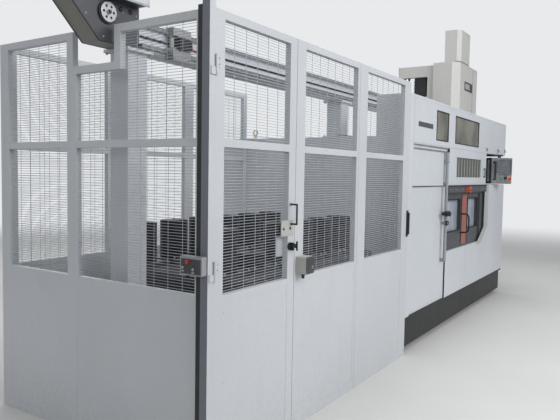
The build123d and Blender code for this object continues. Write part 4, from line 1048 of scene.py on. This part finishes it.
def armDetails():
    # The cable arm's end plate and glands, the motor's ribs, lid, gland and screws
    form = Form(atLathe, towerPaint)
    form.box((2.638, 2.722), (1.1952, 1.2020), (3.028, 3.192))
    form.screw((2.652, 2.708), 1.2020, (3.045, 3.175), toBack)
    form.use(blackPlastic).turned(2.680, (1.060, 1.120), 3.035, down, tower["gland"])
    form.turned(2.740, 0.880, 3.045, up, [(0, 0.018), (0.012, 0.018), (0.016, 0.014), (0.036, 0.013)])
    form.use(darkPlastic)
    for y in ((0.8085, 0.8125), (0.9875, 0.9915)):
        form.row(11, (0, 0, 0.020), (2.676, 2.804), y, (2.795, 2.802))
    form.box((2.690, 2.790), (0.840, 0.960), (3.030, 3.046))
    form.screw((2.672, 2.808), (0.806, 0.994), 2.770, up, (0.006, 0.005))
    form.done("arm_and_motor_trim", body="carriage", bevel=0.0015)


ram = {"sides": (2.671, 3.145), "face": 0.360, "gripper": (2.960, 0.440), "circle": 0.070}


def ramDetails():
    # Top fold and screws of the ram's cap, and the ring of screws on the gripper's collar
    form = Form(atLathe, towerPaint)
    form.box((2.725, 3.091), (0.3585, 0.3599), (3.606, 3.624))
    form.screw((2.735, 3.081), ram["face"], (3.240, 3.420, 3.596), toFront, tower["screw"])
    for side, way in zip(ram["sides"], (toLeft, toRight)):
        form.screw(side, (0.430, 0.550), (3.250, 3.590), way, tower["screw"])
    form.done("cap_screws", body="ram")

    form = Form(atLathe, toolSteel)
    x, y = ram["gripper"]
    for angle in steps(math.tau / 16, math.tau / 8, 8):
        spot = (x + ram["circle"] * math.cos(angle), y + ram["circle"] * math.sin(angle), 2.2690)
        form.screw(*spot, up, (0.005, 0.004), toolSteel)
    form.done("gripper_screws", body="gripper")


beamDetails()
beamStop()
driveDetails()
carriageDetails()
armDetails()
ramDetails()
print("loader done")


stocker = {
    "x": (0.500, 2.600), "y": (0.180, 1.480), "top": 1.000, "rows": (0.440, 1.180), "first": 0.635, "pitch": 0.330,
    "inset": 0.215, "pin": 0.128, "covers": (0.900, 2.050),
}


def stockerDetails():
    # Edge strips with screws, bolts of the plate, pallet pins and two covers on the frame
    form = Form(atGuard, darkPaint)
    x, y, top, inset = (stocker[key] for key in ("x", "y", "top", "inset"))
    strip = (top - 0.036, top - 0.006)
    form.box(within(x, inset), (y[0] - 0.006, y[0] - 0.0002), strip)
    form.box(within(x, inset), (y[1] + 0.0002, y[1] + 0.006), strip)
    form.box((x[0] - 0.006, x[0] - 0.0002), within(y, inset), strip)
    form.screw(steps(x[0] + 0.300, 0.300, 6), within(y, 0.030), top, up, (0.007, 0.004))
    form.screw(steps(x[0] + 0.275, 0.310, 6), y[0] - 0.006, top - 0.021, toFront, lidScrew)
    form.done("stocker_edge", bevel=0.0012)

    form = Form(atGuard, brushedSteel)
    pin = [(0, 0.009), (0.003, 0.009), (0.004, 0.006), (0.016, 0.006), (0.019, 0.003)]
    for middle, row in itertools.product(steps(stocker["first"], stocker["pitch"], 6), stocker["rows"]):
        form.turned(about(middle, stocker["pin"]), about(row, stocker["pin"]), top + 0.0299, up, pin, 16)
    form.done("pallet_pins")

    form = Form(atGuard, stockerPaint)
    for u in stocker["covers"]:
        form.box((u, u + 0.180), (0.402, 0.4395), (0.560, 0.760))
        form.box((u - 0.006, u + 0.186), (0.398, 0.404), (0.554, 0.766))
    across = tuple(u + side for u in stocker["covers"] for side in (0.002, 0.178))
    form.screw(across, 0.398, (0.562, 0.758), toFront, lidScrew)
    form.done("stocker_covers", bevel=0.002)


stockerDetails()
print("stocker done")


conveyor = {
    "axis": (4.700, 1.040), "sides": (0.6998, 1.0002),
    "lids": ((0.450, 0.670), (1.030, 1.270)), "lidX": (3.870, 4.250),
}


def conveyorDetails():
    # Gear motor and bearing plates at the head, and side bolts along the run
    form = Form(atLathe, pipePaint)
    x, z = conveyor["axis"]
    form.turned(x, 0.6995, z, toFront, [
        (0, 0.060), (0.020, 0.060), (0.020, 0.048), (0.070, 0.046), (0.075, 0.058), (0.200, 0.058), (0.206, 0.050),
        (0.226, 0.046)], 28)
    form.box(about(x, 0.045), (0.520, 0.600), (1.086, 1.130))
    for angle in steps(0, math.tau / 6, 6):
        form.screw(x + 0.053 * math.cos(angle), 0.6795, z + 0.053 * math.sin(angle), toFront, (0.004, 0.003))
    form.turned(x, 1.0005, z, toBack, [(0, 0.045), (0.012, 0.045), (0.014, 0.026), (0.026, 0.024)], 24)
    for i, (y, way) in itertools.product(range(4), zip(conveyor["sides"], (toFront, toBack))):
        form.screw(4.150 + i * 0.110, y, 0.170 + i * 0.220, way)
    form.done("conveyor_drive", bevel=0.001)


def tankDetails():
    # Lids with handles, the level gauge and the drain
    form = Form(atLathe, darkPaint)
    x = conveyor["lidX"]
    for low, high in conveyor["lids"]:
        form.use(darkPaint).box(x, (low, high), (0.3002, 0.306))
        form.box((4.020, 4.100), about((low + high) / 2, 0.010), (0.3055, 0.318))
        form.screw(within(x, 0.015), within((low, high), 0.015), 0.306, up, lidScrew)
    form.use(yellowZinc).box((3.900, 3.925), (0.4145, 0.4199), (0.100, 0.250))
    form.use(brushedSteel).turned(4.220, 0.4198, 0.070, toFront, [
        (0, 0.022), (0.010, 0.022), (0.012, 0.016), (0.034, 0.014)], 6)
    form.done("tank_fittings", bevel=0.0012)


cabinet = {
    "face": 2.6212, "side": (3.5998, 3.604),
    "ventX": (2.500, 2.800), "vents": ((0.520, 0.760, 13), (1.560, 1.760, 10)),
}


def cabinetDetails():
    # Swing handle, hinge screws, louvred vents and the cooler's grille
    form = Form(atLathe, blackPlastic)
    face, x = cabinet["face"], cabinet["ventX"]
    form.box((3.470, 3.500), (face - 0.0005, face + 0.008), (1.060, 1.240))
    form.box((3.476, 3.494), (face + 0.0075, face + 0.026), (1.075, 1.205))
    form.turned(3.485, face + 0.0075, 1.225, toBack, [(0, 0.013), (0.006, 0.013), (0.008, 0.010)])
    for low, high, count in cabinet["vents"]:
        form.use(greyPlastic).box(x, (face - 0.0005, face + 0.006), (low, high))
        slats = within(x, 0.020), (face + 0.0045, face + 0.0095), (low + 0.020, low + 0.028)
        form.use(darkPlastic).row(count, (0, 0, 0.016), *slats)
    form.screw((2.215, 3.585), face - 0.0002, steps(0.370, 0.520, 4), toBack, lidScrew)
    form.done("cabinet_door_fittings", body="cabinet_leaf", bevel=0.001)

    form = Form(atLathe, darkPlastic)
    form.row(14, (0, 0, 0.020), cabinet["side"], (2.290, 2.520), (1.500, 1.510))
    form.use(blackPlastic).turned(steps(2.400, 0.070, 3), 2.400, 1.9498, up, [
        (0, 0.022), (0.012, 0.022), (0.016, 0.017), (0.030, 0.016)])
    form.done("cabinet_vents", bevel=0.001)


backCover = {"y": (2.2002, 2.2022), "roof": (2.0902, 2.0922), "low": 0.356, "end": 3.820, "seam": 0.020}


def backDetails():
    # Seams and screws of the rear covers and ends, roof strips and lifting eyes
    form = Form(atLathe, whitePaint)
    for i, x in enumerate(steps(0.955, 0.955, 3)):
        form.box(about(x, backCover["seam"]), backCover["y"], (1.955, 2.050))
        if i < 2:
            form.box(about(x, backCover["seam"]), backCover["y"], (backCover["low"], 1.955))
    for x in ((-0.0022, -0.0002), (backCover["end"] + 0.0002, backCover["end"] + 0.0022)):
        for y in (0.960, 1.580):
            form.box(x, about(y, backCover["seam"]), (backCover["low"], 2.050))
    for y in (0.800, 1.500):
        form.box((0.020, 0.560), about(y, backCover["seam"]), backCover["roof"])
    form.box((0.020, 3.800), (1.780, 1.820), backCover["roof"])
    form.done("back_seams", bevel=0.0007)

    form = Form(atLathe, zincSteel)
    form.screw(steps(0.060, 0.411, 10), 2.2000, (0.375, 2.030), toBack, lidScrew)
    for y, z in itertools.product(steps(0.390, 0.352, 6), (0.375, 1.200, 2.030)):
        form.screw(0, y, z, toLeft, lidScrew)
        if not 0.65 < y < 1.35 or z > 1.19:
            form.screw(backCover["end"], y, z, toRight, lidScrew)
    form.screw(steps(0.060, 0.528, 8), 2.170, 2.0900, up, lidScrew)
    form.done("back_screws")

    form = Form(atLathe, yellowZinc)
    for x, y in itertools.product((0.320, 3.480), (1.000, 1.980)):
        form.turned(x, y, 2.0898, up, [(0, 0.026), (0.006, 0.026), (0.010, 0.016), (0.026, 0.013)])
        form.tube((x - 0.006, y, 2.148), toRight, 0.022, 0.034, 0.012, 28)
    form.done("lifting_eyes", bevel=0.003)


conveyorDetails()
tankDetails()
cabinetDetails()
backDetails()
print("back and tank done")


chucks = {"left_spindle": (0.682, 1), "right_spindle": (3.138, -1)}
chuckAxis = (0.951, 1.206)


def chuckDetails():
    # Two cap screws on each chuck jaw, one on either step
    for body, (face, way) in chucks.items():
        form = Form(atLathe, toolSteel)
        for angle in steps(math.pi / 2, math.tau / 3, 3):
            for reach, out in ((0.054, 0.040), (0.093, 0.056)):
                y, z = chuckAxis[0] + reach * math.cos(angle), chuckAxis[1] + reach * math.sin(angle)
                form.screw(face + way * out, y, z, toRight * way, (0.006, 0.003), toolSteel)
        form.done(body + "_bolts", body=body)


chuckDetails()
print("work area done")


edges = {
    0.001: ["louvre_slats"],
    0.002: ["door_lintel", "drive_housing", "chip_conveyor"],
    0.0025: ["corner_post"],
    0.003: [
        "upper_left_cover", "louvre_cover", "front_apron", "left_door", "right_door", "carriage_frame",
        "gantry_beam", "beam_supports", "roof_cover", "electrical_cabinet", "stocker_frame",
    ],
    0.004: [
        "left_front_cover", "upper_front_cover", "right_front_cover", "carriage_cover", "ram_cover", "rear_covers",
    ],
}


def softenNodes():
    # The CAD pieces that stay visible get their vertices joined and their edges rounded
    for width, names in edges.items():
        for name in names:
            nodes[name].modifiers.new("joined", "WELD").merge_threshold = 0.00002
            soften(nodes[name], width)


softenNodes()
print("edges softened")


# The room: a pale floor that fades into the background, a soft key from the front and a dimmer left side
studio = {
    "background": colour(232, 234, 236), "ambientTone": colour(226, 230, 236), "ambient": 0.42,
    "floorTone": colour(196, 196, 194), "floorHalf": 60, "fade": (7.5, 17.0),
    "lamps": {
        "key": {"at": (-1.5, -7.5, 5.2), "aim": (0.2, 0.0, 1.3), "size": (8.0, 4.5), "watts": 620},
        "top": {"at": (0.6, 0.8, 7.4), "aim": (0.6, 0.8, 0.0), "size": (9.0, 6.0), "watts": 380},
        "side": {"at": (-9.5, 1.5, 3.4), "aim": (-1.0, 0.5, 1.2), "size": (5.0, 3.5), "watts": 90},
        "rear": {"at": (3.0, 8.5, 5.0), "aim": (0.5, 1.0, 1.2), "size": (7.0, 4.0), "watts": 200},
    },
}


def softLamp(name, at, aim, size, watts):
    data = bpy.data.lights.new(name, "AREA")
    data.shape, data.size, data.size_y, data.energy = "RECTANGLE", *size, watts
    lamp = bpy.data.objects.new(name, data)
    lamp.location = at
    lamp.rotation_euler = (Vector(aim) - Vector(at)).to_track_quat("-Z", "Y").to_euler()
    bpy.context.scene.collection.objects.link(lamp)


def ambient():
    world = bpy.data.worlds.new("room")
    bpy.context.scene.world = world
    world.use_nodes = True
    tree = world.node_tree
    shown = tree.nodes["Background"]
    shown.inputs["Color"].default_value = studio["background"]
    light = tree.nodes.new("ShaderNodeBackground")
    light.inputs["Color"].default_value = studio["ambientTone"]
    light.inputs["Strength"].default_value = studio["ambient"]
    path = tree.nodes.new("ShaderNodeLightPath")
    blend = tree.nodes.new("ShaderNodeMixShader")
    tree.links.new(path.outputs["Is Camera Ray"], blend.inputs[0])
    tree.links.new(light.outputs[0], blend.inputs[1])
    tree.links.new(shown.outputs[0], blend.inputs[2])
    tree.links.new(blend.outputs[0], tree.nodes["World Output"].inputs["Surface"])


def floorFinish():
    f = Finish("paleFloor")
    cloud = f.noise(0.6, 4).between(0.3, 0.7)
    f.set({
        "Base Color": f.mix(studio["floorTone"], scaled(studio["floorTone"], 1.06), cloud),
        "Roughness": 0.75 + f.noise(3, 3) * 0.1,
    })
    reach = f.node("VectorMath", {"operation": "LENGTH"}, {0: f.place}, output="Value")
    camera = f.node("LightPath", output="Is Camera Ray")
    fade = f.node("Emission", {}, {"Color": studio["background"], "Strength": 1.0})
    shader = Wire(f, f.shader.outputs[0])
    blend = f.node("MixShader", {}, {0: reach.between(*studio["fade"]) * camera, 1: shader, 2: fade})
    f.tree.links.new(blend.socket, f.tree.nodes["Material Output"].inputs["Surface"])
    return f.material


def layFloor():
    half = studio["floorHalf"]
    data = bpy.data.meshes.new("floor")
    data.from_pydata([(-half, -half, 0), (half, -half, 0), (half, half, 0), (-half, half, 0)], [], [(0, 1, 2, 3)])
    data.materials.append(floorFinish())
    floor = bpy.data.objects.new("floor", data)
    bpy.context.scene.collection.objects.link(floor)


view = {"eye": (-5.457, -2.350, 1.680), "yaw": 33.135, "pitch": 3.460, "roll": 0.963, "lens": 37.99}


def placeCamera():
    yaw, pitch, roll = (math.radians(view[key]) for key in ("yaw", "pitch", "roll"))
    turn = Matrix.Rotation(yaw - math.pi / 2, 4, "Z") @ Matrix.Rotation(math.pi / 2 - pitch, 4, "X")
    data = bpy.data.cameras.new("camera")
    data.lens, data.sensor_width, data.clip_end = view["lens"], 36.0, 200.0
    camera = bpy.data.objects.new("camera", data)
    camera.matrix_world = Matrix.Translation(view["eye"]) @ turn @ Matrix.Rotation(roll, 4, "Z")
    bpy.context.scene.collection.objects.link(camera)
    bpy.context.scene.camera = camera


for name, settings in studio["lamps"].items():
    softLamp(name + "Lamp", **settings)
ambient()
layFloor()
placeCamera()
bpy.context.scene.view_settings.view_transform = "Standard"
print("room and camera done")
